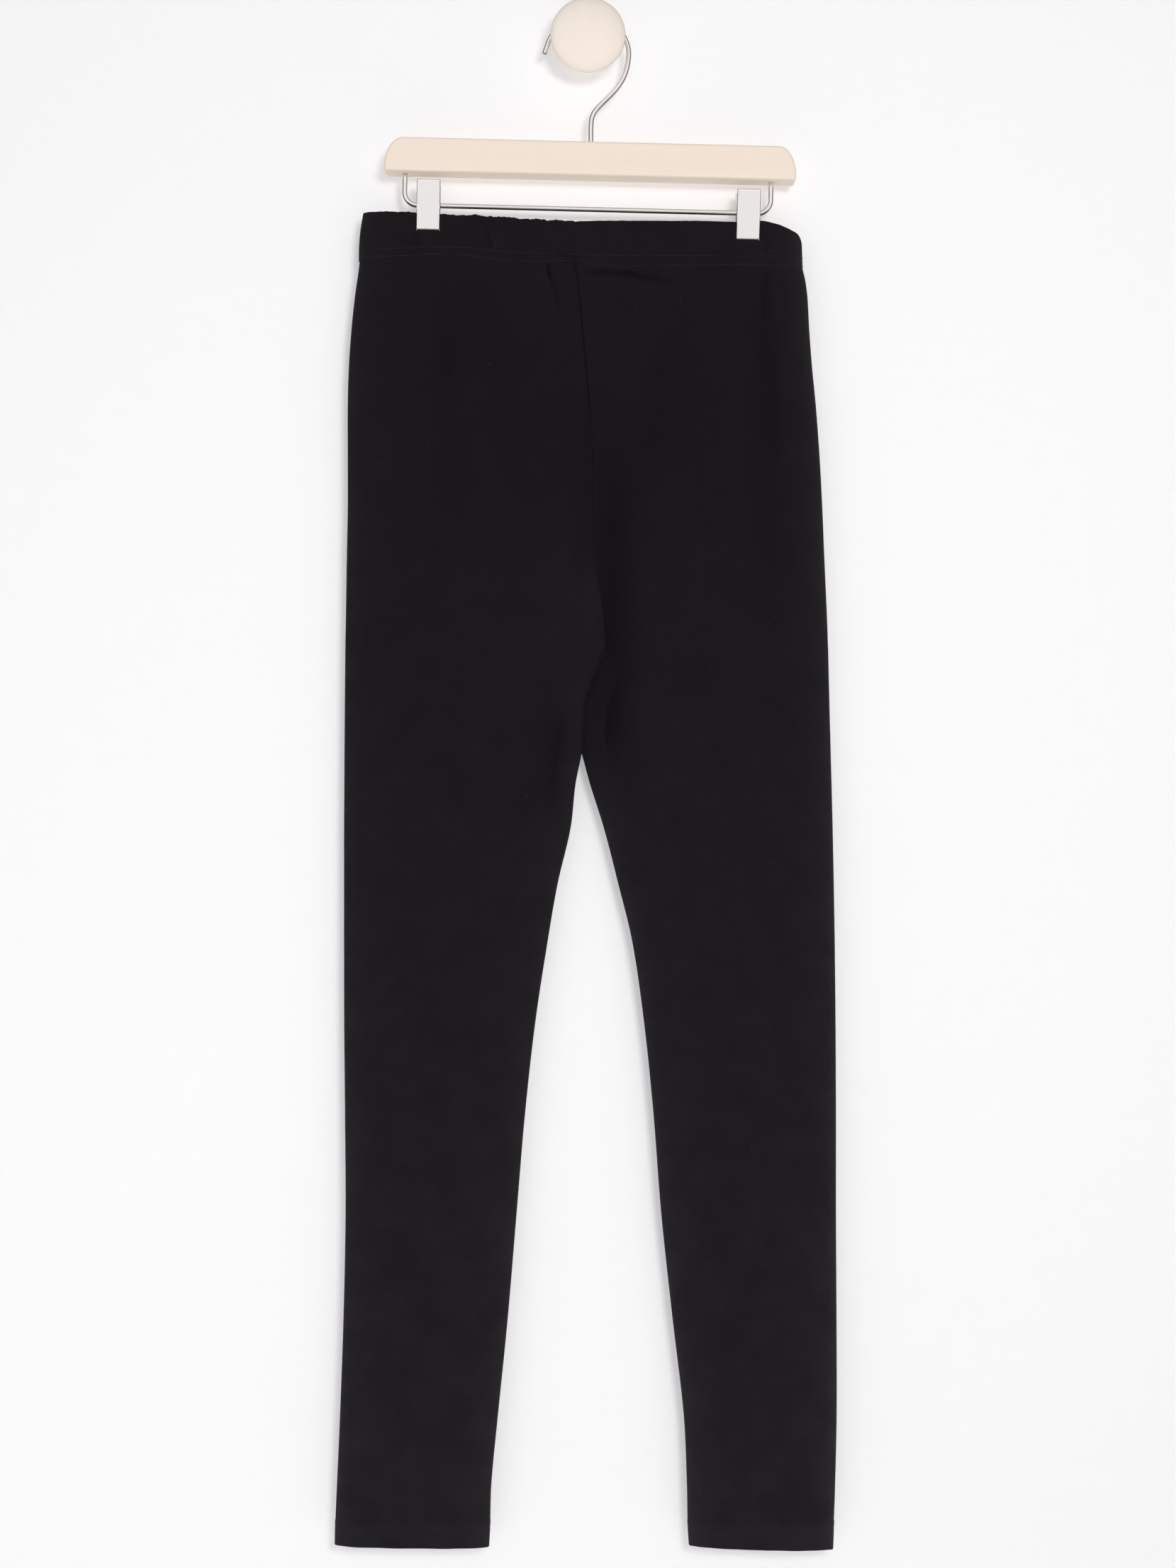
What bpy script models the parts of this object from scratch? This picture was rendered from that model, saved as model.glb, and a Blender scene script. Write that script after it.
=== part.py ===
"""Black jersey leggings on a wooden clip hanger that hangs from a round wall knob.

Metres, +Z up. The origin is the centre of the knob's back face, where it meets the wall.
The wall is the plane y = 0, the garment hangs in front of it on the -Y side, and +X is to
the right as seen from the front. Left and right are also as seen from the front.
"""

import math
from collections import namedtuple

import bmesh
import bpy
from mathutils import Matrix, Vector

MM = 0.001
GAP = 0.3 * MM

# Knob, a turned wooden head on a neck
KNOB_HEAD_RADIUS = 27.0 * MM
KNOB_NECK_RADIUS = 15.0 * MM
KNOB_NECK_LENGTH = 26.5 * MM
KNOB_DEPTH = 40.5 * MM
KNOB_FRONT_ROUNDING = 5.0 * MM
KNOB_BACK_ROUNDING = 2.5 * MM
KNOB_DOME = 1.2 * MM

# Hanger, whose wires, bar and clips all lie about one upright plane
HANGER_Y = -22.0 * MM
HANGER_TILT = math.radians(1.4)
WIRE_RADIUS = 1.75 * MM
BAR_LENGTH = 297.0 * MM
BAR_HEIGHT = 24.3 * MM
BAR_DEPTH = 18.0 * MM
BAR_CENTRE = Vector((1.8 * MM, HANGER_Y, -88.0 * MM))
BAR_TOP_CORNER = 11.5 * MM
BAR_BOTTOM_CORNER = 2.0 * MM
BAR_EDGE = 1.6 * MM
CROOK_CENTRE = (1.5 * MM, -10.9 * MM)
CROOK_RADIUS = 28.0 * MM
SHANK_DEPTH = 14.0 * MM
RAIL_HALF_WIDTH = 132.6 * MM
RAIL_DROP = 34.8 * MM
RAIL_BEND = 9.5 * MM
RAIL_SOCKET = 11.0 * MM

# Clips, two sprung plates that turn on the rail
CLIP_PLACES = {"left": -116.6 * MM, "right": 114.4 * MM}
CLIP_PINCH_X = (-115.0 * MM, 116.0 * MM)
PLATE_WIDTH = 16.4 * MM
PLATE_HEIGHT = 36.5 * MM
PLATE_THICKNESS = 1.0 * MM
PLATE_DROP = 1.9 * MM
PLATE_LEAN = math.radians(6.0)
PLATE_EDGE = 0.35 * MM
EAR_HEIGHT = 8.5 * MM
EAR_THICKNESS = 0.9 * MM
EAR_REACH = 3.4 * MM
SPRING_RADIUS = 3.1 * MM
SPRING_WIRE = 0.45 * MM
SPRING_LENGTH = 9.6 * MM
SPRING_TURNS = 5
SPRING_STEPS = 10

# Garment, hung flat: its middle plane is the hanger's
WAIST_Z = -125.0 * MM
LEG_WALL = 1.2 * MM
BAND_WALL = 2.4 * MM
HEM_WALL = 2.2 * MM
HEM_PROUD = 0.5 * MM
HEM_TOP = 947.0 * MM
HEM_BOTTOM = 966.5 * MM
HEM_CORNER_RISE = 1.8 * MM
LEG_FOLD_RADIUS = 2.4 * MM
BAND_FOLD_RADIUS = 3.6 * MM
HEM_FOLD_RADIUS = 3.2 * MM
CROTCH = 319.0 * MM
CROTCH_ROUNDING = 8.0 * MM
CROTCH_SPREAD = 1.1
PINCHED_HALF_DEPTH = 2.75 * MM
LAP_HALF_DEPTH = 3.3 * MM
LAP_SHIFT = 3.65 * MM
LAP_WIDTH = 12.0 * MM
LAP_FADE = 35.0 * MM
CORNER_LEAN = 6.0 * MM
CORNER_START = 120.0 * MM
CORNER_WIDTH = 36.0 * MM
BAND_FADE = 60.0 * MM
LEG_COLUMNS = 9
BAND_COLUMNS = 12
EDGE_STEPS = (0.0, 0.5 * MM, 1.8 * MM, 4.5 * MM, 10.0 * MM)

# One row for each cross-section of the legs, in millimetres. down is measured from the top of
# the waist. The inner edges are the centre seam above the crotch and the inseam side below it,
# depth is half the garment's depth, and lap says how far the left leg lies in front there.
Section = namedtuple("Section", "down left_outer left_inner right_inner right_outer depth lap")
SECTIONS = (
    Section(38, -165.3, -10.2, -10.2, 155.6, 5.8, 0),
    Section(48, -166.5, -8.2, -8.2, 157.7, 6.0, 0),
    Section(62, -168.2, -6.5, -6.5, 159.2, 6.4, 0),
    Section(84, -170.5, -4.3, -4.3, 160.3, 6.9, 0),
    Section(110, -172.4, -1.9, -1.9, 162.2, 7.3, 0),
    Section(140, -173.3, 0.9, 0.9, 165.1, 7.5, 0),
    Section(175, -173.3, 3.5, 3.5, 167.7, 7.6, 0),
    Section(214, -173.3, 3.2, 3.2, 169.8, 7.6, 0),
    Section(251, -174.0, 4.9, 4.9, 171.3, 7.6, 0),
    Section(282, -174.5, 9.4, 9.4, 172.7, 7.6, 0),
    Section(301, -174.8, 11.6, 11.6, 173.5, 7.6, 0),
    Section(311, -175.0, 12.3, 12.3, 173.8, 7.6, 0),
    Section(319, -175.1, 12.1, 12.1, 174.1, 7.6, 0),
    Section(329, -175.2, 7.8, 8.4, 174.3, 7.6, 1),
    Section(341, -175.3, 3.2, 1.5, 174.6, 7.6, 1),
    Section(353, -175.4, -0.8, -5.0, 174.9, 7.7, 1),
    Section(366, -175.5, -2.5, -9.0, 175.2, 7.7, 1),
    Section(379, -175.6, -2.9, -8.8, 175.6, 7.7, 1),
    Section(392, -175.7, -4.6, -4.6, 175.9, 7.8, 1),
    Section(414, -175.8, -9.0, 1.4, 176.5, 7.8, 0.9),
    Section(446, -176.0, -12.6, 11.5, 177.3, 7.8, 0.5),
    Section(486, -176.0, -21.9, 21.8, 178.1, 7.8, 0.2),
    Section(528, -176.0, -30.2, 33.1, 178.8, 7.7, 0),
    Section(587, -175.9, -39.7, 42.1, 179.4, 7.4, 0),
    Section(653, -175.3, -46.1, 48.9, 179.7, 7.0, 0),
    Section(725, -175.7, -51.7, 54.5, 179.7, 6.6, 0),
    Section(801, -177.2, -58.1, 62.7, 179.7, 6.3, 0),
    Section(871, -179.7, -65.2, 70.5, 179.4, 6.1, 0),
    Section(921, -181.4, -70.0, 72.5, 178.2, 6.0, 0),
    Section(947, -182.2, -70.8, 72.9, 177.4, 6.0, 0),
    Section(967, -182.6, -71.9, 74.0, 176.5, 6.1, 0),
)

# The waistband's top and bottom edges, in millimetres below the waist line
Edge = namedtuple("Edge", "x down")
BAND_TOP = (
    Edge(-163, 1.6), Edge(-155, 0.5), Edge(-129, 0.3), Edge(-103, 1.9), Edge(-77, 3.7), Edge(-55, 4.9),
    Edge(-28, 6.8), Edge(-11, 7.6), Edge(11, 7.1), Edge(60, 7.2), Edge(108, 7.0), Edge(125, 6.2),
    Edge(135, 7.8), Edge(143, 10.4), Edge(149.5, 13.3), Edge(153, 15.8), Edge(155, 19.9), Edge(156, 24.5),
)
BAND_BOTTOM = (
    Edge(-166, 35.5), Edge(-152, 35.2), Edge(-120, 33.8), Edge(-89, 34.4), Edge(-70, 36.6), Edge(-50, 38.4),
    Edge(-20, 38.3), Edge(-3, 39.2), Edge(12, 41.2), Edge(60, 41.8), Edge(100, 41.2), Edge(157, 42.0),
)
BAND_LEFT = (-162.4 * MM, -165.1 * MM)
BAND_RIGHT = (155.4 * MM, 155.7 * MM)
BAND_SEAM = (-9.2 * MM, -10.2 * MM)
BAND_ROWS = (0.0, 0.12, 0.4, 0.7, 1.0)

# The largest folds, in millimetres: soft troughs (depth below zero) and ridges that run from
# (x, down) to (end_x, end_down) on the front or the back of the cloth
Fold = namedtuple("Fold", "face x down end_x end_down width depth")
FOLDS = (
    Fold("front", 130, 44, 131, 285, 14, -2.2),
    Fold("front", 8, 150, 25, 400, 17, -2.6),
    Fold("front", -20, 352, -33, 440, 14, -2.2),
    Fold("front", -82, 48, -42, 185, 24, -1.5),
    Fold("front", -106, 50, -92, 262, 14, -1.3),
    Fold("front", -14, 200, -30, 330, 16, 1.2),
    Fold("front", 62, 60, 70, 250, 26, -1.0),
    Fold("back", -118, 40, -126, 250, 15, -2.2),
    Fold("back", 116, 44, 124, 230, 14, -2.0),
    Fold("back", -34, 120, -22, 300, 22, 1.6),
    Fold("back", 44, 130, 30, 310, 22, 1.5),
    Fold("back", 10, 240, 34, 420, 15, -2.4),
    Fold("back", -4, 250, -44, 430, 15, -2.2),
    Fold("back", -60, 60, -70, 210, 20, -1.4),
)
FOLD_FADE = 0.35


def smooth_step(value):
    """0 below 0, 1 above 1, and an even slope between."""
    value = min(max(value, 0.0), 1.0)
    return value * value * (3.0 - 2.0 * value)


def blend(first, second, share):
    return first + (second - first) * share


def read_curve(rows, key, column, at):
    """The column's value at a place along the key, on a smooth curve through the rows."""
    keys = [getattr(row, key) for row in rows]
    values = [getattr(row, column) for row in rows]
    if at <= keys[0]:
        return values[0]
    if at >= keys[-1]:
        return values[-1]
    index = next(i for i in range(len(keys) - 1) if keys[i] <= at <= keys[i + 1])

    def slope(i):
        low, high = max(i - 1, 0), min(i + 1, len(keys) - 1)
        return (values[high] - values[low]) / (keys[high] - keys[low])

    span = keys[index + 1] - keys[index]
    share = (at - keys[index]) / span
    square, cube = share * share, share * share * share
    return (
        (2 * cube - 3 * square + 1) * values[index]
        + (cube - 2 * square + share) * span * slope(index)
        + (3 * square - 2 * cube) * values[index + 1]
        + (cube - square) * span * slope(index + 1)
    )


def section_value(column, down):
    return read_curve(SECTIONS, "down", column, down / MM) * MM


def band_edge(edges, x):
    return read_curve(edges, "x", "down", x / MM) * MM


def clip_pinch(x):
    """1 where a clip's jaws hold the cloth, less beside them, and 0 in the middle."""
    share = 0.0
    for place in CLIP_PINCH_X:
        beside = max(abs(x - place) - 9.0 * MM, 0.0) / (16.0 * MM)
        share = max(share, math.exp(-beside * beside))
        if abs(x) > abs(place) and x * place > 0:
            share = max(share, 0.45)
    return share


def half_depth(x, down):
    """Half the garment's depth, pinched where the clips hold the waistband."""
    hold = clip_pinch(x) * (1.0 - smooth_step((down - 18.0 * MM) / (50.0 * MM)))
    return blend(section_value("depth", down), PINCHED_HALF_DEPTH, hold)


def middle(x, down):
    """The garment's middle plane, whose upper right corner leans back towards the wall."""
    lean = smooth_step((x - CORNER_START) / CORNER_WIDTH) * (1.0 - smooth_step(down / BAND_FADE))
    return HANGER_Y + CORNER_LEAN * lean


def fold_height(face, x, down):
    """How far the folds lift the cloth's surface outwards at a place."""
    height = 0.0
    for fold in FOLDS:
        if fold.face != face:
            continue
        along_x, along_down = fold.end_x - fold.x, fold.end_down - fold.down
        length = math.hypot(along_x, along_down)
        from_x, from_down = x / MM - fold.x, down / MM - fold.down
        share = (from_x * along_x + from_down * along_down) / (length * length)
        aside = (from_x * along_down - from_down * along_x) / length
        ends = smooth_step((share + 0.1) / FOLD_FADE) * smooth_step((1.1 - share) / FOLD_FADE)
        height += fold.depth * MM * math.exp(-((aside / fold.width) ** 2)) * ends
    return height


def round_edge(distance, depth, radius):
    """The share of the depth that a folded edge has reached at a distance from it."""
    return math.sqrt(1.0 - math.exp(-2.0 * radius * distance / (depth * depth)))


def distances_across(width, columns):
    """Places across a flat section, close together at its two folded edges."""
    edge = EDGE_STEPS[-1]
    inside = [edge + (width - 2.0 * edge) * i / (columns + 1) for i in range(1, columns + 1)]
    return list(EDGE_STEPS) + inside + [width - step for step in reversed(EDGE_STEPS)]


def crotch_closing(distance, down):
    """0 above the crotch, 1 below it, and a round turn between, tightest beside the seam."""
    above = (CROTCH - down) / (CROTCH_ROUNDING + CROTCH_SPREAD * distance)
    if above >= 1.0:
        return 0.0
    if above <= 0.0:
        return 1.0
    return 1.0 - math.sqrt(1.0 - (1.0 - above) ** 2)


def leg_point(side, face, inner, outer, distance, down, radius, proud=0.0):
    """A point on a leg's outer surface, which ends at the centre seam above the crotch."""
    inner -= side * proud
    outer += side * proud
    width = abs(outer - inner)
    x = inner + side * distance
    lap = read_curve(SECTIONS, "down", "lap", down / MM)
    lap *= 1.0 - smooth_step((distance - LAP_WIDTH) / LAP_FADE)
    depth = blend(half_depth(x, down), LAP_HALF_DEPTH, lap) + proud
    inner_share = blend(1.0, round_edge(distance, depth, radius), crotch_closing(distance, down))
    outer_share = round_edge(max(width - distance, 0.0), depth, radius)
    share = inner_share * outer_share
    lift = fold_height(face, x, down) * share * share * (1.0 - lap)
    outward = -1.0 if face == "front" else 1.0
    y = middle(x, down) + side * LAP_SHIFT * lap + outward * (depth * share + lift)
    return x, y


def leg_rows():
    """Distances below the waist for the rows of a leg, close together at the crotch."""
    downs = [row.down * MM for row in SECTIONS if row.down * MM <= HEM_TOP]
    curl = [CROTCH - CROTCH_ROUNDING * share for share in (0.62, 0.3, 0.1)]
    return sorted(downs + curl)


def add_surface(name, rows, closed):
    """An open surface through rows of points; each row is a loop where closed is true."""
    mesh = bpy.data.meshes.new(name)
    shape = bmesh.new()
    grid = [[shape.verts.new(point) for point in row] for row in rows]
    for upper, lower in zip(grid, grid[1:]):
        count = len(upper)
        for i in range(count if closed else count - 1):
            following = (i + 1) % count
            shape.faces.new((upper[i], lower[i], lower[following], upper[following]))
    bmesh.ops.remove_doubles(shape, verts=shape.verts, dist=0.000001)
    shape.normal_update()
    shape.to_mesh(mesh)
    shape.free()
    return bpy.data.objects.new(name, mesh)


def add_wall(item, thickness):
    """Gives a cloth surface its thickness on the inside."""
    wall = item.modifiers.new("wall", "SOLIDIFY")
    wall.thickness = thickness
    wall.offset = -1.0
    wall.use_even_offset = True
    item.data.shade_smooth()


def face_order(side, points):
    """Orders a section's points so that the faces of either side look outwards."""
    return points if side > 0 else list(reversed(points))


def make_leg(name, side):
    """One leg panel: an open wrap above the crotch and a tube below it."""
    prefix = "left" if side < 0 else "right"
    rows = []
    for down in leg_rows():
        inner = section_value(prefix + "_inner", down)
        outer = section_value(prefix + "_outer", down)
        seam = GAP / 2 if down < CROTCH + 1.0 * MM else 0.0
        inner += side * seam
        across = distances_across(abs(outer - inner), LEG_COLUMNS)
        row = []
        for face, places in (("front", across), ("back", list(reversed(across))[1:])):
            for distance in places:
                x, y = leg_point(side, face, inner, outer, distance, down, LEG_FOLD_RADIUS)
                under_band = band_edge(BAND_BOTTOM, x) + GAP - SECTIONS[0].down * MM
                sag = under_band * (1.0 - smooth_step((down - SECTIONS[0].down * MM) / BAND_FADE))
                row.append((x, y, WAIST_Z - down - sag))
        if down >= HEM_TOP:
            row = [(x, y, z + GAP) for x, y, z in row]
        rows.append(face_order(side, row))
    leg = add_surface(name, rows, closed=False)
    add_wall(leg, LEG_WALL)
    return leg


def make_hem(name, side):
    """The turned-up hem of an ankle, a doubled band a little proud of the leg."""
    prefix = "left" if side < 0 else "right"
    rows = []
    for share in (0.0, 0.5, 1.0):
        down = blend(HEM_TOP, HEM_BOTTOM, share)
        inner = section_value(prefix + "_inner", down)
        outer = section_value(prefix + "_outer", down)
        width = abs(outer - inner) + 2.0 * HEM_PROUD
        across = distances_across(width, LEG_COLUMNS)
        row = []
        for face, places in (("front", across[:-1]), ("back", list(reversed(across))[:-1])):
            for distance in places:
                x, y = leg_point(side, face, inner, outer, distance, down, HEM_FOLD_RADIUS,
                                 proud=HEM_PROUD)
                corner = abs(2.0 * distance / width - 1.0) ** 8 * HEM_CORNER_RISE * share
                row.append((x, y, WAIST_Z - down + corner))
        rows.append(face_order(side, row))
    hem = add_surface(name, rows, closed=True)
    add_wall(hem, HEM_WALL)
    return hem


def make_waistband(name, side):
    """Half of the elastic waistband, from its front seam round the side to its back seam."""
    rows = []
    for share in BAND_ROWS:
        inner = blend(*BAND_SEAM, share) + side * GAP / 2
        outer = blend(*(BAND_LEFT if side < 0 else BAND_RIGHT), share)
        width = abs(outer - inner)
        across = distances_across(width, BAND_COLUMNS)
        row = []
        for outward, places in ((-1.0, across), (1.0, list(reversed(across))[1:])):
            for distance in places:
                x = inner + side * distance
                down = blend(band_edge(BAND_TOP, x), band_edge(BAND_BOTTOM, x), share)
                depth = half_depth(x, down)
                depth *= round_edge(max(width - distance, 0.0), depth, BAND_FOLD_RADIUS)
                row.append((x, middle(x, down) + outward * depth, WAIST_Z - down))
        rows.append(face_order(side, row))
    band = add_surface(name, rows, closed=False)
    add_wall(band, BAND_WALL)
    return band


def make_material(name, colour, roughness, metallic=0.0):
    material = bpy.data.materials.new(name)
    material.use_nodes = True
    shader = material.node_tree.nodes["Principled BSDF"]
    shader.inputs["Base Color"].default_value = (*colour, 1.0)
    shader.inputs["Roughness"].default_value = roughness
    shader.inputs["Metallic"].default_value = metallic
    return material


def mesh_from_curve(curve, name):
    """A welded mesh object made from a curve object, which is removed."""
    bpy.context.view_layer.update()
    evaluated = curve.evaluated_get(bpy.context.evaluated_depsgraph_get())
    mesh = bpy.data.meshes.new_from_object(evaluated)
    shape = bmesh.new()
    shape.from_mesh(mesh)
    bmesh.ops.remove_doubles(shape, verts=shape.verts, dist=0.00001)
    shape.to_mesh(mesh)
    shape.free()
    item = bpy.data.objects.new(name, mesh)
    item.matrix_world = curve.matrix_world
    bpy.data.objects.remove(curve)
    return item


def make_wire(name, points, radius, sides):
    """A round wire with filled ends through the points."""
    data = bpy.data.curves.new(name, "CURVE")
    data.dimensions = "3D"
    data.bevel_depth = radius
    data.bevel_resolution = sides
    data.use_fill_caps = True
    spline = data.splines.new("POLY")
    spline.points.add(len(points) - 1)
    for target, point in zip(spline.points, points):
        target.co = (*point, 1.0)
    return bpy.data.objects.new(name, data)


def smooth_route(points, steps):
    """Points along a smooth curve that passes through each given point."""
    padded = [points[0]] + list(points) + [points[-1]]
    route = []
    for i in range(1, len(padded) - 2):
        before, start, end, after = (Vector(padded[i + k]) for k in (-1, 0, 1, 2))
        for step in range(steps):
            t = step / steps
            route.append(
                0.5 * (2 * start + (end - before) * t
                       + (2 * before - 5 * start + 4 * end - after) * t ** 2
                       + (3 * start - before - 3 * end + after) * t ** 3)
            )
    route.append(Vector(padded[-2]))
    return route


def make_knob():
    """The turned knob, its axis across the wall."""
    head_depth = KNOB_DEPTH - KNOB_NECK_LENGTH
    profile = [(0.0, KNOB_DEPTH)]
    profile.append((KNOB_HEAD_RADIUS * 0.5, KNOB_DEPTH - KNOB_DOME * 0.25))
    for step in range(6):
        turn = math.pi / 2 * step / 5
        profile.append((
            KNOB_HEAD_RADIUS - KNOB_FRONT_ROUNDING * (1.0 - math.sin(turn)),
            KNOB_DEPTH - KNOB_DOME - KNOB_FRONT_ROUNDING * (1.0 - math.cos(turn)),
        ))
    for step in range(4):
        turn = math.pi / 2 * step / 3
        profile.append((
            KNOB_HEAD_RADIUS - KNOB_BACK_ROUNDING * (1.0 - math.cos(turn)),
            KNOB_DEPTH - head_depth + KNOB_BACK_ROUNDING * (1.0 - math.sin(turn)),
        ))
    profile.append((KNOB_NECK_RADIUS, KNOB_NECK_LENGTH))
    profile.append((KNOB_NECK_RADIUS, 0.0))
    profile.append((0.0, 0.0))
    mesh = bpy.data.meshes.new("knob")
    edges = [(i, i + 1) for i in range(len(profile) - 1)]
    mesh.from_pydata([(radius, 0.0, height) for radius, height in profile], edges, [])
    knob = bpy.data.objects.new("knob", mesh)
    screw = knob.modifiers.new("turn", "SCREW")
    screw.steps = 32
    screw.render_steps = 32
    screw.use_merge_vertices = True
    screw.merge_threshold = 0.00001
    knob.rotation_euler = (math.pi / 2, 0.0, 0.0)
    return knob


def make_hook():
    """The hook: a flared tip, a round crook over the knob's neck, an S-bend and a shank."""
    centre_x, centre_z = CROOK_CENTRE
    route = [(-31.4, -10.0), (-28.0, -0.2)]
    for degrees in (140, 115, 90, 65, 40, 20, 0):
        turn = math.radians(degrees)
        route.append((
            (centre_x + CROOK_RADIUS * math.cos(turn)) / MM,
            (centre_z + CROOK_RADIUS * math.sin(turn)) / MM,
        ))
    route += [(27.2, -23.8), (22.1, -33.3), (15.7, -40.6), (9.1, -47.1), (4.8, -52.1), (2.7, -57.3)]
    shank_bottom = (BAR_CENTRE.z + BAR_HEIGHT / 2 - SHANK_DEPTH) / MM
    route += [(2.1, -65.0), (2.1, -70.0), (2.1, shank_bottom)]
    points = smooth_route([(x * MM, HANGER_Y, z * MM) for x, z in route], 3)
    return make_wire("hook", points, WIRE_RADIUS, 2)


def hanger_point(x, y, z):
    """A place in the world for one measured from the middle of the tilted bar."""
    return BAR_CENTRE + Matrix.Rotation(HANGER_TILT, 3, "Y") @ Vector((x, y, z))


def make_rail():
    """The rail: a wire bent down from the bar at both ends and level between."""
    top = -BAR_HEIGHT / 2 + RAIL_SOCKET
    half = []
    for step in range(7):
        turn = math.pi / 2 * step / 6
        half.append((
            RAIL_HALF_WIDTH - RAIL_BEND * (1.0 - math.cos(turn)),
            -RAIL_DROP + RAIL_BEND * (1.0 - math.sin(turn)),
        ))
    corner = [(RAIL_HALF_WIDTH, top)] + half
    outline = [(-x, z) for x, z in corner] + list(reversed(corner))
    return make_wire("rail", [hanger_point(x, 0.0, z) for x, z in outline], WIRE_RADIUS, 2)


def add_cutter(item, kind, owner, operation, cutters):
    """Joins a shape to its owner or cuts it away, and keeps it as a wire guide."""
    item.name = kind
    cutters.objects.link(item)
    item.hide_render = True
    item.display_type = "WIRE"
    change = owner.modifiers.new(kind, "BOOLEAN")
    change.operation = operation
    change.solver = "EXACT"
    change.object = item


def primitive_cylinder(radius, length, segments):
    """A capped cylinder along Z about its middle."""
    mesh = bpy.data.meshes.new("cylinder")
    shape = bmesh.new()
    bmesh.ops.create_cone(shape, cap_ends=True, segments=segments, radius1=radius, radius2=radius,
                          depth=length)
    shape.to_mesh(mesh)
    shape.free()
    return bpy.data.objects.new("cylinder", mesh)


def primitive_box(size, corner=0.0, segments=1):
    """A box about its middle, with its edges rounded where corner is given."""
    mesh = bpy.data.meshes.new("box")
    shape = bmesh.new()
    bmesh.ops.create_cube(shape, size=1.0)
    bmesh.ops.scale(shape, vec=size, verts=shape.verts)
    shape.to_mesh(mesh)
    shape.free()
    item = bpy.data.objects.new("box", mesh)
    if corner:
        bevel = item.modifiers.new("edges", "BEVEL")
        bevel.width = corner
        bevel.segments = segments
    return item


def make_bar(cutters):
    """The wooden bar, round at its upper corners, bored for the hook and the rail."""
    outline = []
    for radius, sign_x, sign_z, start in (
        (BAR_TOP_CORNER, 1, 1, 0.0), (BAR_TOP_CORNER, -1, 1, 90.0),
        (BAR_BOTTOM_CORNER, -1, -1, 180.0), (BAR_BOTTOM_CORNER, 1, -1, 270.0),
    ):
        steps = 8 if sign_z > 0 else 2
        for step in range(steps + 1):
            turn = math.radians(start + 90.0 * step / steps)
            outline.append((
                sign_x * (BAR_LENGTH / 2 - radius) + radius * math.cos(turn),
                sign_z * (BAR_HEIGHT / 2 - radius) + radius * math.sin(turn),
            ))
    data = bpy.data.curves.new("hanger_bar", "CURVE")
    data.dimensions = "2D"
    data.fill_mode = "BOTH"
    data.extrude = BAR_DEPTH / 2
    spline = data.splines.new("POLY")
    spline.points.add(len(outline) - 1)
    spline.use_cyclic_u = True
    for target, (x, y) in zip(spline.points, outline):
        target.co = (x, y, 0.0, 1.0)
    curve = bpy.data.objects.new("bar outline", data)
    bpy.context.scene.collection.objects.link(curve)
    bar = mesh_from_curve(curve, "hanger_bar")
    upright = Matrix.Rotation(math.pi / 2, 4, "X")
    tilt = Matrix.Rotation(HANGER_TILT, 4, "Y")
    bar.matrix_world = Matrix.Translation(BAR_CENTRE) @ tilt @ upright
    bevel = bar.modifiers.new("edges", "BEVEL")
    bevel.width = BAR_EDGE
    bevel.segments = 2
    bevel.limit_method = "ANGLE"
    bevel.angle_limit = math.radians(60.0)
    bore = WIRE_RADIUS + GAP
    shank = primitive_cylinder(bore, 2.0 * (SHANK_DEPTH + GAP), 12)
    shank.location = (2.1 * MM, HANGER_Y, BAR_CENTRE.z + BAR_HEIGHT / 2)
    add_cutter(shank, "shank bore", bar, "DIFFERENCE", cutters)
    for side in (-1, 1):
        socket = primitive_cylinder(bore, 2.0 * (RAIL_SOCKET + GAP), 12)
        socket.location = hanger_point(side * RAIL_HALF_WIDTH, 0.0, -BAR_HEIGHT / 2)
        socket.rotation_euler = (0.0, HANGER_TILT, 0.0)
        add_cutter(socket, "rail bore", bar, "DIFFERENCE", cutters)
    return bar


def make_jaw(name, place, face, ear_x, cutters):
    """One plate of a clip, leaning in to the cloth, with two ears round the rail."""
    outward = -1.0 if face == "front" else 1.0
    pivot_above = PLATE_HEIGHT / 2 + PLATE_DROP
    grip = PINCHED_HALF_DEPTH + GAP + 0.05 * MM
    at_pivot = grip + pivot_above * math.sin(PLATE_LEAN)
    centre = grip + PLATE_HEIGHT / 2 * math.sin(PLATE_LEAN) + PLATE_THICKNESS / 2
    frame = bpy.data.objects.new(name + " frame", None)
    frame.location = hanger_point(place, 0.0, -RAIL_DROP)
    frame.rotation_euler = (0.0, HANGER_TILT, 0.0)
    cutters.objects.link(frame)
    jaw = primitive_box((PLATE_WIDTH, PLATE_THICKNESS, PLATE_HEIGHT), PLATE_EDGE, 2)
    jaw.name = name
    jaw.parent = frame
    jaw.location = (0.0, outward * centre, -PLATE_DROP)
    jaw.rotation_euler = (-outward * PLATE_LEAN, 0.0, 0.0)
    ear_length = at_pivot + PLATE_THICKNESS * 0.5 + EAR_REACH
    for side in (-1, 1):
        ear = primitive_box((EAR_THICKNESS, ear_length, EAR_HEIGHT), 0.0)
        ear.parent = frame
        ear.location = (side * ear_x, outward * (ear_length / 2 - EAR_REACH), 0.0)
        add_cutter(ear, "ear", jaw, "UNION", cutters)
    bore = primitive_cylinder(WIRE_RADIUS + GAP, PLATE_WIDTH * 1.5, 16)
    bore.parent = frame
    bore.rotation_euler = (0.0, math.pi / 2, 0.0)
    add_cutter(bore, "rail hole", jaw, "DIFFERENCE", cutters)
    return jaw


def make_spring(name, place):
    """The coil round the rail between a clip's ears."""
    points = []
    count = SPRING_TURNS * SPRING_STEPS
    for step in range(count + 1):
        turn = 2.0 * math.pi * step / SPRING_STEPS
        along = place + SPRING_LENGTH * (step / count - 0.5)
        points.append(hanger_point(
            along, SPRING_RADIUS * math.cos(turn), -RAIL_DROP + SPRING_RADIUS * math.sin(turn)))
    return make_wire(name, points, SPRING_WIRE, 1)


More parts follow.
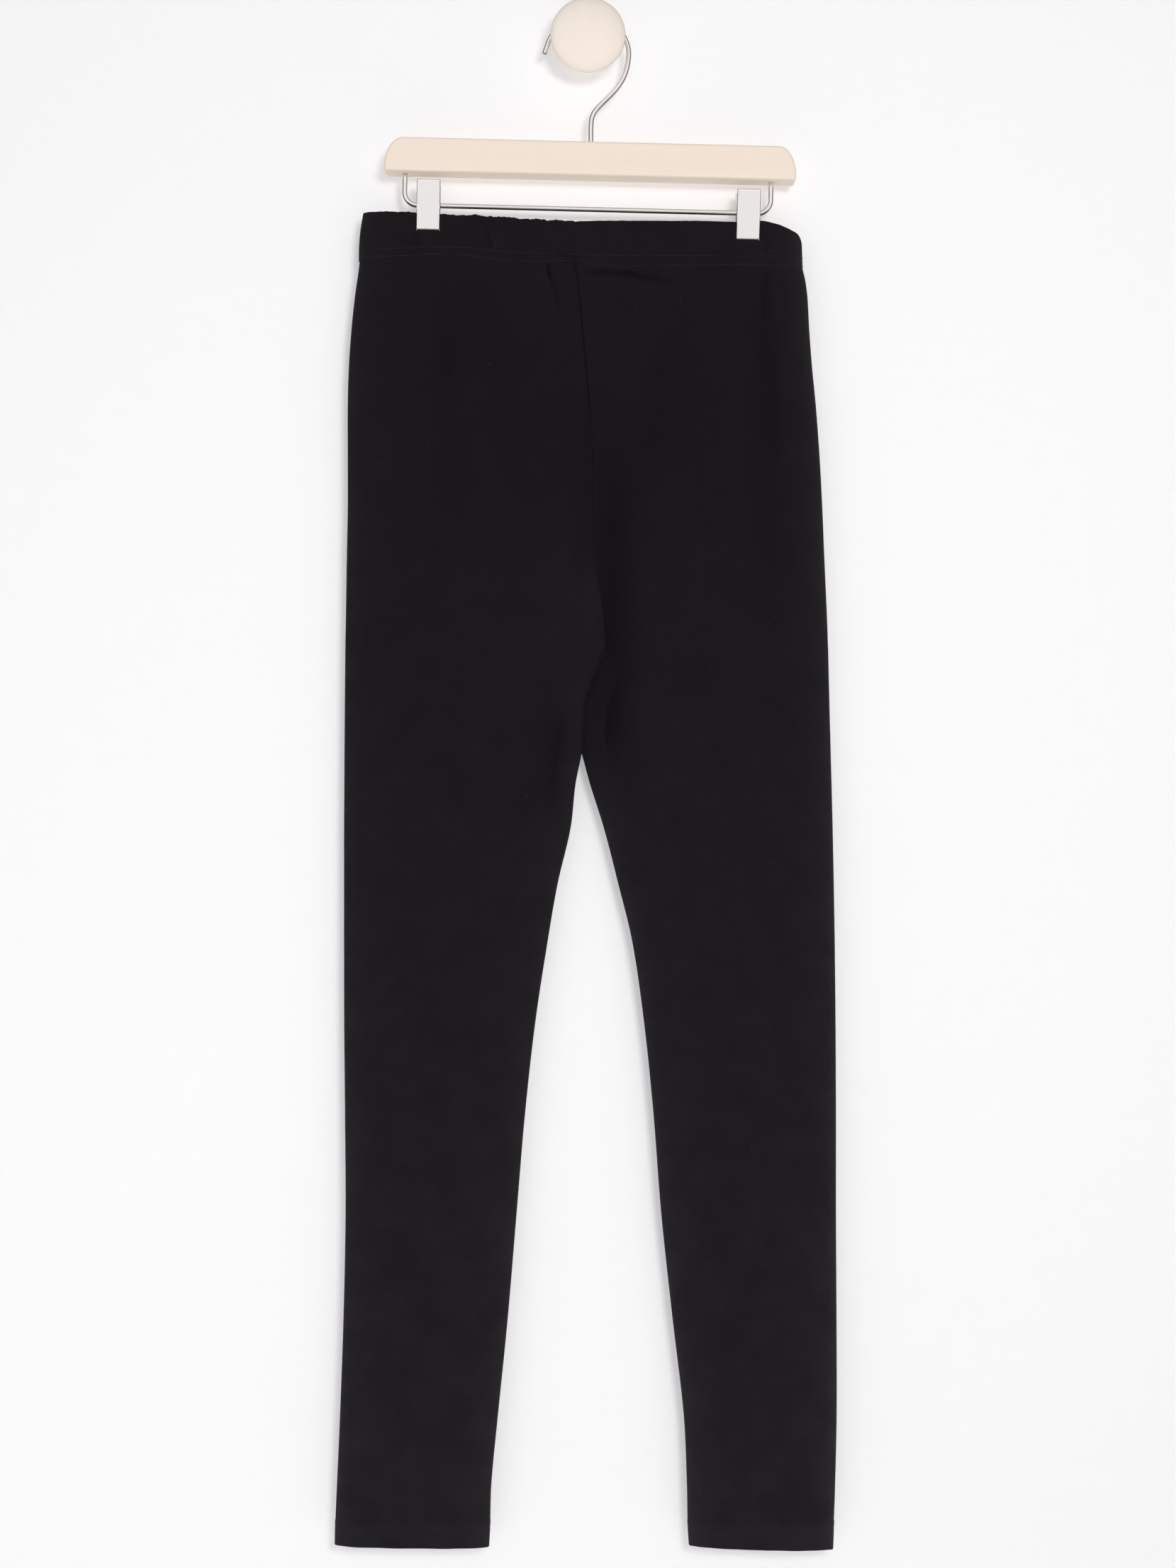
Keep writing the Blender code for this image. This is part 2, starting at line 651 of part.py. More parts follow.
def main():
    for item in list(bpy.data.objects):
        bpy.data.objects.remove(item)
    parts = bpy.data.collections.new("leggings on a clip hanger")
    cutters = bpy.data.collections.new("cutters")
    bpy.context.scene.collection.children.link(parts)
    bpy.context.scene.collection.children.link(cutters)

    jersey = make_material("black jersey", (0.011, 0.010, 0.011), 0.9)
    birch = make_material("birch", (0.86, 0.77, 0.63), 0.55)
    knob_wood = make_material("knob wood", (0.87, 0.78, 0.68), 0.6)
    steel = make_material("satin steel", (0.72, 0.70, 0.67), 0.25, 1.0)
    nickel = make_material("satin nickel", (0.80, 0.78, 0.74), 0.35, 1.0)

    pieces = [
        (make_waistband("waistband_left", -1), jersey),
        (make_waistband("waistband_right", 1), jersey),
        (make_leg("leg_left", -1), jersey),
        (make_leg("leg_right", 1), jersey),
        (make_hem("hem_left", -1), jersey),
        (make_hem("hem_right", 1), jersey),
        (make_knob(), knob_wood),
        (make_hook(), steel),
        (make_bar(cutters), birch),
        (make_rail(), steel),
    ]
    outer_ear = PLATE_WIDTH / 2 - EAR_THICKNESS / 2 - 0.1 * MM
    inner_ear = outer_ear - EAR_THICKNESS - 0.4 * MM
    for side, place in CLIP_PLACES.items():
        pieces.append((make_jaw(f"clip_{side}_front", place, "front", outer_ear, cutters), nickel))
        pieces.append((make_jaw(f"clip_{side}_back", place, "back", inner_ear, cutters), nickel))
        pieces.append((make_spring(f"clip_{side}_spring", place), steel))
    for item, material in pieces:
        item.data.materials.clear()
        item.data.materials.append(material)
        parts.objects.link(item)
    for name in ("knob", "hanger_bar"):
        bpy.data.objects[name].data.shade_smooth()


main()
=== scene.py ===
"""Black jersey leggings on a wooden clip hanger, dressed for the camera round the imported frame.

Metres, +Z up. The wall is the plane y = 0, the garment hangs in front of it on the -Y side, and
left and right are as seen from the front. The sections follow the making: the garment is cut
and sewn, the hanger is put together, and both hang on the wall knob in a white studio.
"""

import math
from collections import namedtuple

import bmesh
import bpy
from mathutils import Matrix, Vector, noise


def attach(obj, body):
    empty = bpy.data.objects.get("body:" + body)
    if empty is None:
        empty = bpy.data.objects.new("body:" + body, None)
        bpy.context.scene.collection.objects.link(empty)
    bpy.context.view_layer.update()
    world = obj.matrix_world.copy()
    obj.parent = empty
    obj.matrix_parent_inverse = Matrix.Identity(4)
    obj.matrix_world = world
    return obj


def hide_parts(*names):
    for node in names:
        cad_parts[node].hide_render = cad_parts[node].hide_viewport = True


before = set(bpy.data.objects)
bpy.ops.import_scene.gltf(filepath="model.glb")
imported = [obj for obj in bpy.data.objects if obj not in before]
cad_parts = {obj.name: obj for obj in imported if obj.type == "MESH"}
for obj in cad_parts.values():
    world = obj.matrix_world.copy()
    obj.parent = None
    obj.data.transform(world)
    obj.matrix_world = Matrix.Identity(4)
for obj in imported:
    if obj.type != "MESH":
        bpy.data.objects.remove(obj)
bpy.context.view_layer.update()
MM = 0.001


# Leg panels
# Each leg is one panel of black cotton and elastane jersey, wrapped from the centre front round
# the side to the centre back, and sewn to a tube below the crotch by one inseam. They hang flat
# from the waist, and just below the crotch the left leg laps over the right one.
# Places in the cloth are in millimetres: x, and down from the waist line.
GARMENT_Y = -22.0
WAIST_Z = -125.0
JERSEY_THICKNESS = 0.9
LEG_FOLD_RADIUS = 2.4
LEG_FRONT_COLUMNS = 72
LEG_BACK_COLUMNS = 30
LEG_TUCK = 1.6
LEG_TUCK_DEPTH = 0.6
LEG_END = 948.0
LEG_WIDTH = 165.0
LEG_ROW_STEPS = (1.0, 2.4, 4.3)
LEG_CLOSE_ROWS_END = 58.0
LEG_UPPER_ROWS_END = 100.0
CROTCH = 319.0
CROTCH_CLOSE_ROWS_AT = 314.0
CROTCH_CLOSE_ROWS_REACH = 9.0
CROTCH_ROUNDING = 8.0
CROTCH_SPREAD = 1.1
LAP_HALF_DEPTH = 3.3
LAP_SHIFT = 3.65
LAP_WIDTH = 12.0
LAP_FADE = 35.0
LAP_FOLD_RADIUS = 0.6
BACK_SEAM_SHIFT = 0.6
PINCHED_HALF_DEPTH = 2.75
CLIP_PINCH_X = (-115.0, 116.0)
JAW_HALF_WIDTH = 9.0
JAW_FADE = 16.0
OUTSIDE_PINCH = 0.45
CORNER_LEAN = 6.0
CORNER_START = 120.0
CORNER_WIDTH = 36.0
BAND_FADE = 60.0
SEAM_GAP = 0.02
SEAM_GROOVE_DEPTH = 0.8
SEAM_GROOVE_WIDTH = 0.5
ALLOWANCE_HEIGHT = 0.3
ALLOWANCE_WIDTH = 5.4
INSEAM_GROOVE_AT = 3.6
INSEAM_ALLOWANCE_AT = 6.2
SEAM_EDGE = (0.0, 0.2, 0.45, 0.8, 1.4, 2.4, 3.8, 5.2, 6.6, 8.0, *(9.1 + i for i in range(17)))
FOLD_EDGE = (13.0, 10.5, 8.2, 6.2, 4.5, 3.1, 2.0, 1.2, 0.6, 0.2, 0.0)

Section = namedtuple("Section", "down left_outer left_inner right_inner right_outer depth lap")
SECTIONS = (
    Section(38, -165.3, -10.2, -10.2, 155.6, 5.8, 0),
    Section(48, -166.5, -8.2, -8.2, 157.7, 6.0, 0),
    Section(62, -168.7, -6.5, -6.5, 159.2, 6.4, 0),
    Section(84, -171.3, -4.3, -4.3, 160.3, 6.9, 0),
    Section(110, -173.2, -1.9, -1.9, 162.2, 7.3, 0),
    Section(140, -174.1, 0.9, 0.9, 165.1, 7.5, 0),
    Section(175, -174.1, 3.5, 3.5, 167.7, 7.6, 0),
    Section(214, -174.1, 3.2, 3.2, 169.8, 7.6, 0),
    Section(251, -174.8, 5.1, 4.5, 171.3, 7.6, 0.08),
    Section(282, -175.3, 9.6, 8.6, 172.7, 7.6, 0.14),
    Section(301, -175.6, 12.0, 10.4, 173.5, 7.6, 0.25),
    Section(311, -175.8, 12.6, 9.6, 173.8, 7.6, 0.45),
    Section(319, -175.9, 11.8, 7.6, 174.1, 7.6, 0.75),
    Section(329, -176.0, 7.9, 4.2, 174.3, 7.6, 1),
    Section(341, -176.1, 3.2, -1.0, 174.6, 7.6, 1),
    Section(353, -176.2, -0.8, -6.2, 174.9, 7.7, 1),
    Section(366, -176.3, -2.5, -9.0, 175.2, 7.7, 1),
    Section(379, -176.4, -2.9, -8.8, 175.6, 7.7, 1),
    Section(392, -176.5, -4.6, -4.6, 175.9, 7.8, 1),
    Section(414, -176.6, -9.0, 1.4, 176.5, 7.8, 0.9),
    Section(446, -176.8, -12.6, 11.5, 177.3, 7.8, 0.5),
    Section(486, -176.8, -21.9, 21.8, 178.1, 7.8, 0.2),
    Section(528, -176.8, -29.2, 32.0, 178.8, 7.7, 0),
    Section(587, -176.7, -38.2, 40.6, 179.4, 7.4, 0),
    Section(653, -176.1, -45.6, 47.4, 179.7, 7.0, 0),
    Section(725, -175.7, -51.7, 53.0, 179.7, 6.6, 0),
    Section(801, -177.2, -58.1, 61.2, 180.1, 6.3, 0),
    Section(871, -179.7, -65.2, 69.3, 180.2, 6.1, 0),
    Section(921, -181.9, -70.0, 71.6, 179.1, 6.0, 0),
    Section(947, -183.0, -70.8, 72.1, 178.2, 6.0, 0),
    Section(967, -183.4, -71.9, 73.3, 177.4, 6.1, 0),
)
LEG_TOP = SECTIONS[0].down

# The waistband's lower edge, where the legs begin
Edge = namedtuple("Edge", "x down")
BAND_BOTTOM = (
    Edge(-166, 35.5), Edge(-152, 35.2), Edge(-120, 33.8), Edge(-89, 34.4), Edge(-70, 36.6), Edge(-50, 38.4),
    Edge(-20, 38.3), Edge(-3, 39.2), Edge(12, 41.2), Edge(60, 41.8), Edge(100, 41.2), Edge(157, 42.0),
)

# Soft troughs (depth below zero) and ridges on each face, from (x, down) to (end_x, end_down):
# first the large ones that the solids have too, then the finer creases
Fold = namedtuple("Fold", "x down end_x end_down width depth")
LEG_FOLDS = {
    "front": (
        Fold(130, 44, 131, 285, 14, -2.2), Fold(23, 165, 15, 405, 14, -3.0),
        Fold(-20, 352, -33, 440, 14, -2.0), Fold(-82, 48, -42, 185, 24, -1.5),
        Fold(-106, 50, -92, 262, 14, -1.3), Fold(-14, 200, -30, 330, 16, 1.2),
        Fold(62, 60, 70, 250, 26, -1.0), Fold(-29.3, 36, -27.4, 50, 1.1, -1.5),
        Fold(-28.3, 44, -20, 71, 1.3, -1.1), Fold(-33, 40, -27, 60, 2.6, 0.8),
        Fold(-2, 43.6, 34, 45.6, 1.8, -1.8), Fold(24, 44.5, 60, 51.5, 2.2, -1.7),
        Fold(10, 50, 60, 57, 4.0, 0.7), Fold(128.4, 40, 127.6, 82, 2.8, -1.6),
        Fold(128, 78, 137, 180, 5.5, -1.0), Fold(-19, 362, -27, 430, 4.2, -1.7),
        Fold(60, 98, 44, 182, 13, -1.2), Fold(12, 328, 14, 400, 11, -2.4), Fold(0, 232, 6, 330, 5, 0.8),
        Fold(-76, 46, -74, 62, 7, -1.0), Fold(-104, 55, -100, 130, 4.5, -0.8),
        Fold(-66, 150, -44, 215, 14, -1.0), Fold(-122, 38, -119, 90, 5.0, 0.35),
        Fold(-56, 42, -50, 96, 6.0, 0.3),
    ),
    "back": (
        Fold(-118, 40, -126, 250, 15, -2.2), Fold(116, 44, 124, 230, 14, -2.0),
        Fold(-34, 120, -22, 300, 22, 1.6), Fold(44, 130, 30, 310, 22, 1.5),
        Fold(10, 240, 34, 420, 15, -2.4), Fold(-4, 250, -44, 430, 15, -2.2),
        Fold(-60, 60, -70, 210, 20, -1.4), Fold(-40, 40, -36, 74, 2.6, -0.8),
        Fold(34, 44, 30, 80, 2.8, -0.8), Fold(-96, 42, -90, 120, 5.0, 0.4),
        Fold(84, 46, 88, 126, 5.0, 0.4),
    ),
}
FOLD_FADE = 0.35
FOLD_RUNOUT = 0.1
FOLD_REACH = 2.8

# The slight waves of hanging jersey, and the puckers that the elastic draws in
Wave = namedtuple("Wave", "across along seed height")
SLOW_WAVE = Wave(38.0, 95.0, 0.0, 0.5)
QUICK_WAVE = Wave(13.0, 34.0, 3.1, 0.14)
PUCKERS = Wave(4.4, 60.0, 11.7, 0.42)
PUCKERS_END = 110.0
BACK_SEED = 7.3

# Each pair is how far down a change begins, and the length over which it happens
PINCH_FADES = (18.0, 50.0)
BAND_SEAM_OPENS = (8.0, 8.0)
SEAM_NARROWS = (125.0, 35.0)
SEAM_COVERED = (222.0, 12.0)
LAP_DARKENS = (300.0, 20.0)
LAP_OPENS = (385.0, 20.0)
LEFT_EDGE_PALES = (225.0, 60.0)
RIGHT_EDGE_PALES = (390.0, 70.0)
HOLLOW_SHADE_BEGINS = (100.0, 70.0)
LEFT_HOLLOW_SHADE_ENDS = (235.0, 50.0)
RIGHT_HOLLOW_SHADE_ENDS = (375.0, 60.0)
SHADE_BEGINS = (240.0, 60.0)
SHADE_ENDS = (375.0, 40.0)
ANKLE_PALES = (946.0, 6.0)

# How much paler or darker the painted light and shade make the cloth, and how wide each band is
RIGHT_EDGE_LIGHT = (1.9, 1.5)
SEAM_GROOVE_SHADE = 0.6
LAP_EDGE_SHADE = 0.9
LAP_EDGE_SHADE_WIDTH = 1.0
SHADE_BLACK = 0.08
SHADE_WIDTH = 20.0
LEFT_HOLLOW_SHADE = 0.2
RIGHT_HOLLOW_SHADE = 0.16
HOLLOW_SHADE_WIDTH = 30.0
ANKLE_PALE = 0.12
DEEPEST_PAINTED_SHADE = -0.75

UPPER_BLACK = (0.0080, 0.0066, 0.0080, 1.0)
ANKLE_BLACK = (0.0128, 0.0107, 0.0128, 1.0)
COOL_BLACK = (0.0064, 0.0062, 0.0074, 1.0)
LINT = (0.05, 0.046, 0.05, 1.0)
KNIT_STRENGTH = 0.3


def smooth_step(value):
    """0 below 0, 1 above 1, and a slope between that eases in and out."""
    value = min(max(value, 0.0), 1.0)
    return value * value * (3.0 - 2.0 * value)


def grow(value, start, length):
    """0 up to the start, then a smooth slope to 1 over the length."""
    return smooth_step((value - start) / length)


def fade(value, start, length):
    """1 up to the start, then a smooth slope to 0 over the length."""
    return 1.0 - grow(value, start, length)


def blend(first, second, share):
    return first + (second - first) * share


def bell(distance, width):
    """1 at no distance, less along a bell curve, and almost nothing at twice the width."""
    return math.exp(-((distance / width) ** 2))


def read_curve(rows, key, column, at):
    """The column's value at a place along the key, on a smooth curve through the rows."""
    keys = [getattr(row, key) for row in rows]
    values = [getattr(row, column) for row in rows]
    if at <= keys[0]:
        return values[0]
    if at >= keys[-1]:
        return values[-1]
    index = next(i for i in range(len(keys) - 1) if keys[i] <= at <= keys[i + 1])

    def slope(i):
        low, high = max(i - 1, 0), min(i + 1, len(keys) - 1)
        return (values[high] - values[low]) / (keys[high] - keys[low])

    span = keys[index + 1] - keys[index]
    share = (at - keys[index]) / span
    square, cube = share * share, share * share * share
    return (
        (2 * cube - 3 * square + 1) * values[index]
        + (cube - 2 * square + share) * span * slope(index)
        + (3 * square - 2 * cube) * values[index + 1]
        + (cube - square) * span * slope(index + 1)
    )


def band_bottom(x):
    return read_curve(BAND_BOTTOM, "x", "down", x)


def section_at(down):
    """The garment's section at a distance below the waist line."""
    columns = Section._fields[1:]
    return Section(down, *(read_curve(SECTIONS, "down", column, down) for column in columns))


def clip_pinch(x):
    """1 where a clip's jaws hold the cloth, less beside them, and 0 in the middle."""
    share = 0.0
    for place in CLIP_PINCH_X:
        beside = max(abs(x - place) - JAW_HALF_WIDTH, 0.0) / JAW_FADE
        share = max(share, math.exp(-beside * beside))
        if abs(x) > abs(place) and x * place > 0:
            share = max(share, OUTSIDE_PINCH)
    return share


def half_depth(x, down, depth):
    """Half the garment's depth, pinched where the clips hold the waistband."""
    if down > sum(PINCH_FADES):
        return depth
    hold = clip_pinch(x) * fade(down, *PINCH_FADES)
    return blend(depth, PINCHED_HALF_DEPTH, hold)


def middle(x, down):
    """The garment's middle plane, whose upper right corner leans back towards the wall."""
    lean = grow(x, CORNER_START, CORNER_WIDTH) * fade(down, 0.0, BAND_FADE)
    return GARMENT_Y + CORNER_LEAN * lean


def folds_at(folds, face, x, down):
    """Each fold that reaches a place, and the share of its height that it has there."""
    reached = []
    for fold in folds.get(face, ()):
        along_x, along_down = fold.end_x - fold.x, fold.end_down - fold.down
        length = math.hypot(along_x, along_down)
        share = ((x - fold.x) * along_x + (down - fold.down) * along_down) / (length * length)
        aside = ((x - fold.x) * along_down - (down - fold.down) * along_x) / length
        to_end = 1.0 + FOLD_RUNOUT - share
        if share > -FOLD_RUNOUT and to_end > 0.0 and abs(aside) < FOLD_REACH * fold.width:
            ends = grow(share, -FOLD_RUNOUT, FOLD_FADE) * grow(to_end, 0.0, FOLD_FADE)
            reached.append((fold, bell(aside, fold.width) * ends))
    return reached


def fold_height(folds, face, x, down):
    """How far the folds lift the cloth's surface outwards at a place."""
    return sum(fold.depth * share for fold, share in folds_at(folds, face, x, down))


def noise_of(wave, x, down, seed):
    return noise.noise(Vector((x / wave.across, down / wave.along, seed + wave.seed)))


def slack(face, x, down):
    """The slight waviness of hanging jersey, and the small puckers that the elastic draws in
    below the waistband, most of them on the left."""
    seed = 0.0 if face == "front" else BACK_SEED
    height = SLOW_WAVE.height * noise_of(SLOW_WAVE, x, down, seed)
    height += QUICK_WAVE.height * noise_of(QUICK_WAVE, x, down, seed)
    if down < PUCKERS_END:
        drawn = blend(1.0, 0.4, grow(x, -20.0, 25.0)) * math.exp(-max(down - 36.0, 0.0) / 26.0)
        height += PUCKERS.height * drawn * noise_of(PUCKERS, x, down, seed)
    return height


def round_edge(distance, depth, radius):
    """The share of the depth that a folded edge has reached at a distance from it."""
    return math.sqrt(1.0 - math.exp(-2.0 * radius * max(distance, 0.0) / (depth * depth)))


def crotch_closing(distance, down):
    """0 above the crotch, 1 below it, and a round turn between, tightest beside the seam."""
    above = (CROTCH - down) / (CROTCH_ROUNDING + CROTCH_SPREAD * distance)
    if above >= 1.0:
        return 0.0
    if above <= 0.0:
        return 1.0
    return 1.0 - math.sqrt(1.0 - (1.0 - above) ** 2)


def seam_shows(down):
    """How open the centre seam's groove is: shut at the waist, open at the hips, and covered by
    the left-hand cloth above the crotch."""
    if down < LEG_TOP:
        return 0.15 * grow(down, *BAND_SEAM_OPENS)
    return blend(1.0, 0.3, grow(down, *SEAM_NARROWS)) * fade(down, *SEAM_COVERED)


def centre_seam_relief(side, distance, down):
    """The groove of a centre seam, and its pressed allowance under the right-hand cloth."""
    groove = -SEAM_GROOVE_DEPTH * bell(distance, SEAM_GROOVE_WIDTH) * seam_shows(down)
    if side < 0:
        return groove
    allowance = grow(distance, 0.4, 1.0) * fade(distance, ALLOWANCE_WIDTH, 1.8)
    return groove + ALLOWANCE_HEIGHT * allowance * fade(down, *SEAM_COVERED)


def inseam_relief(face, distance):
    """The inseam lies on the back, just behind the leg's inner fold."""
    if face == "front":
        return 0.0
    allowance = 0.28 * bell(distance - INSEAM_ALLOWANCE_AT, 1.9)
    return allowance - 0.4 * bell(distance - INSEAM_GROOVE_AT, 0.8)


def leg_point(side, face, section, across, radius=LEG_FOLD_RADIUS, proud=0.0):
    """A point on a leg's outer surface, across being its share of the leg's width."""
    down = section.down
    gap = SEAM_GAP if down < CROTCH + 1.0 else 0.0
    inner = (section.left_inner if side < 0 else section.right_inner) + side * (gap - proud)
    if face == "back":
        inner += BACK_SEAM_SHIFT * (1.0 - crotch_closing(0.0, down))
    outer = (section.left_outer if side < 0 else section.right_outer) + side * proud
    width = abs(outer - inner)
    distance = across * width
    x = inner + side * distance
    lap = section.lap * fade(distance, LAP_WIDTH, LAP_FADE)
    depth = blend(half_depth(x, down, section.depth), LAP_HALF_DEPTH, lap) + proud
    closing = crotch_closing(distance, down)
    inner_radius = blend(radius, LAP_FOLD_RADIUS, section.lap)
    inner_share = blend(1.0, round_edge(distance, depth, inner_radius), closing)
    share = inner_share * round_edge(width - distance, depth, radius)
    at = down
    if down < LEG_TOP + BAND_FADE:
        sag = band_bottom(x) - LEG_TUCK - LEG_TOP
        at += sag * fade(down, LEG_TOP, BAND_FADE)
    relief = fold_height(LEG_FOLDS, face, x, at) + slack(face, x, at)
    relief *= share * share
    relief += blend(centre_seam_relief(side, distance, at), inseam_relief(face, distance), closing)
    tuck = -LEG_TUCK_DEPTH * fade(down, LEG_TOP, LEG_TUCK) * share
    lying = LAP_SHIFT * side * lap
    if side < 0:
        lying += 0.92 * depth * (1.0 - inner_share) * smooth_step(lap / 0.5)
    outward = -1.0 if face == "front" else 1.0
    y = middle(x, at) + lying + outward * (depth * share + relief * (1.0 - lap) + tuck)
    return x, y, WAIST_Z - at


def shares_across(width, columns):
    """Places across a flat piece as shares of its width, close together at both its edges."""
    start, end = SEAM_EDGE[-1], width - FOLD_EDGE[0]
    between = [blend(start, end, i / (columns + 1)) for i in range(1, columns + 1)]
    places = list(SEAM_EDGE) + between + [width - back for back in FOLD_EDGE]
    return [place / width for place in places]


def wrap_round(side, front_shares, back_shares, point):
    """A row of points over the front from the seam to the outer fold and back over the back,
    ordered so that the faces built from it look outwards."""
    row = [point("front", share) for share in front_shares]
    row += [point("back", share) for share in list(reversed(back_shares))[1:]]
    return row if side > 0 else list(reversed(row))


def put_in_scene(name, data):
    """A new object in the scene."""
    made = bpy.data.objects.new(name, data)
    bpy.context.scene.collection.objects.link(made)
    return made


def add_piece(name, data, finish, slot, *nodes):
    """Puts a piece in the scene on the one body, in place of the named nodes."""
    piece = put_in_scene(name, data)
    piece.data.materials.append(finish)
    if nodes:
        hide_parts(*nodes)
    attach(piece, "root")
    return piece


def new_mesh(name, points, faces):
    mesh = bpy.data.meshes.new(name)
    mesh.from_pydata(points, [], faces)
    return mesh


def mend(mesh, weld=False, close=False, outwards=False):
    """Welds a mesh's doubled points, closes its open ends or turns its faces outwards."""
    shape = bmesh.new()
    shape.from_mesh(mesh)
    if weld:
        bmesh.ops.remove_doubles(shape, verts=shape.verts, dist=0.000001)
    if close:
        bmesh.ops.holes_fill(shape, edges=[edge for edge in shape.edges if edge.is_boundary])
    if outwards:
        bmesh.ops.recalc_face_normals(shape, faces=shape.faces)
    shape.to_mesh(mesh)
    shape.free()


def shade(mesh, sharp_angle):
    """Shades a mesh smooth, but crisp along edges sharper than the angle in degrees."""
    mesh.shade_smooth()
    mesh.set_sharp_from_angle(angle=math.radians(sharp_angle))


def painted_edge_light(distance):
    """How much paler the painted edge light makes the cloth near a folded edge."""
    return 0.8 * math.exp(-distance / 2.5) + 0.45 * math.exp(-distance / 12.0)


def painted_shading_of_row(row, folds):
    """For each point of a row, how much paler or darker the painted light and shade make it than
    flat cloth: painted light along the folded edges and on ridges, painted shade in troughs, in
    the seam's groove, at the lapped edge and in the hollows beside the centre seam, and paler on the hems."""
    low, high = min(point[0] for point in row), max(point[0] for point in row)
    outer, inner = (high, low) if low + high > 0 else (low, high)
    on_right = outer > 0
    painted_shading = []
    for x, y, z in row:
        down = WAIST_Z - z
        from_inner = abs(x - inner)
        # Painted light along the outer folded edge, stronger on the right leg
        edge_light = blend(*RIGHT_EDGE_LIGHT, grow(down, 0.0, 600.0)) if on_right else 1.0
        paler = edge_light * painted_edge_light(abs(outer - x))
        # Painted shade in the centre seam's groove, as strong as the groove is open
        paler -= SEAM_GROOVE_SHADE * seam_shows(down) * bell(from_inner, SEAM_GROOVE_WIDTH)
        # At the left leg's lapped edge: painted light on a strip beside it and painted shade in a thin line
        # along it; below the lap, painted edge light on the inner fold
        lapped = 0.25 * math.exp(-from_inner / 10.0)
        lapped -= LAP_EDGE_SHADE * bell(from_inner, LAP_EDGE_SHADE_WIDTH) * grow(down, *LAP_DARKENS)
        inner_edge = blend(lapped, painted_edge_light(from_inner), grow(down, *LAP_OPENS))
        paler += inner_edge * grow(down, *(RIGHT_EDGE_PALES if on_right else LEFT_EDGE_PALES))
        # Painted shade in the hollows beside the centre seam, below the hips
        hollow_shade = grow(down, *HOLLOW_SHADE_BEGINS)
        if on_right:
            # Painted shade on the right leg beside the left leg's lapped edge
            shaded = grow(down, *SHADE_BEGINS)
            paler -= SHADE_BLACK * bell(from_inner, SHADE_WIDTH) * shaded * fade(down, *SHADE_ENDS)
            black, hollow_shade_ends = RIGHT_HOLLOW_SHADE, RIGHT_HOLLOW_SHADE_ENDS
        else:
            black, hollow_shade_ends = LEFT_HOLLOW_SHADE, LEFT_HOLLOW_SHADE_ENDS
        paler -= black * bell(from_inner, HOLLOW_SHADE_WIDTH) * hollow_shade * fade(down, *hollow_shade_ends)
        paler += ANKLE_PALE * grow(down, *ANKLE_PALES)
        face = "front" if y < middle(x, down) else "back"
        # Painted shade in the folds' troughs and creases, painted light on their ridges
        for fold, share in folds_at(folds, face, x, down):
            paler += fold.depth * share * (0.07 + 0.25 / fold.width)
        painted_shading.append(max(paler, DEEPEST_PAINTED_SHADE))
    return painted_shading


def add_cloth(name, rows, finish, slot, node, folds):
    """A smooth surface through rows of points in millimetres, welded where they meet."""
    count = len(rows[0])
    faces = []
    for upper in range(len(rows) - 1):
        for i in range(count - 1):
            here = upper * count + i
            faces.append((here, here + count, here + count + 1, here + 1))
    mesh = new_mesh(name, [Vector(point) * MM for row in rows for point in row], faces)
    # Painted light and shade for each point, which scales the jersey's colour
    painted_shading = mesh.attributes.new("painted_shading", "FLOAT", "POINT")
    painted_shading.data.foreach_set("value", [value for row in rows for value in painted_shading_of_row(row, folds)])
    mend(mesh, weld=True)
    mesh.shade_smooth()
    return add_piece(name, mesh, finish, slot, node)


def bake(piece, sharp_angle):
    """Turns a piece's modifiers into its own mesh, shaded crisp along its sharp edges."""
    bpy.context.view_layer.update()
    mesh = bpy.data.meshes.new_from_object(piece.evaluated_get(bpy.context.evaluated_depsgraph_get()))
    piece.modifiers.clear()
    piece.data = mesh
    shade(mesh, sharp_angle)


def add_node(tree, kind, inputs=None, **settings):
    """Adds a node with its settings; each input is a value or a socket to link."""
    made = tree.nodes.new(kind)
    for key, value in settings.items():
        setattr(made, key, value)
    for key, value in (inputs or {}).items():
        if isinstance(value, bpy.types.NodeSocket):
            tree.links.new(value, made.inputs[key])
        else:
            made.inputs[key].default_value = value
    return made


def add_bump(tree, shader, height, strength, distance):
    """Raises the surface by a height, whose full distance is in metres."""
    bump = add_node(tree, "ShaderNodeBump", {"Height": height, "Strength": strength, "Distance": distance})
    tree.links.new(bump.outputs["Normal"], shader.inputs["Normal"])


def begin_finish(name):
    """A new material, its node tree, its shader, and the piece's own coordinates in metres."""
    finish = bpy.data.materials.new(name)
    finish.use_nodes = True
    tree = finish.node_tree
    place = add_node(tree, "ShaderNodeTexCoord").outputs["Object"]
    return finish, tree, tree.nodes["Principled BSDF"], place


def mix_colours(tree, share, first, second):
    """The first colour where share is 0, the second where it is 1."""
    inputs = {0: share, 6: first, 7: second}
    return add_node(tree, "ShaderNodeMix", inputs, data_type="RGBA").outputs[2]


def calculate(tree, operation, *values):
    return add_node(tree, "ShaderNodeMath", dict(enumerate(values)), operation=operation).outputs[0]


def scale_vector(tree, vector, amount):
    return add_node(tree, "ShaderNodeVectorMath", {0: vector, 1: amount}, operation="MULTIPLY").outputs[0]


def fit_range(tree, value, low, high, to_low, to_high):
    """Maps a value's range to another one."""
    inputs = {"Value": value, "From Min": low, "From Max": high, "To Min": to_low, "To Max": to_high}
    return add_node(tree, "ShaderNodeMapRange", inputs).outputs["Result"]


def speckle(tree, place, scale, detail=3.0, roughness=0.5):
    """Even noise with about the given number of lumps in a metre."""
    inputs = {"Vector": place, "Scale": scale, "Detail": detail, "Roughness": roughness}
    return add_node(tree, "ShaderNodeTexNoise", inputs).outputs["Fac"]


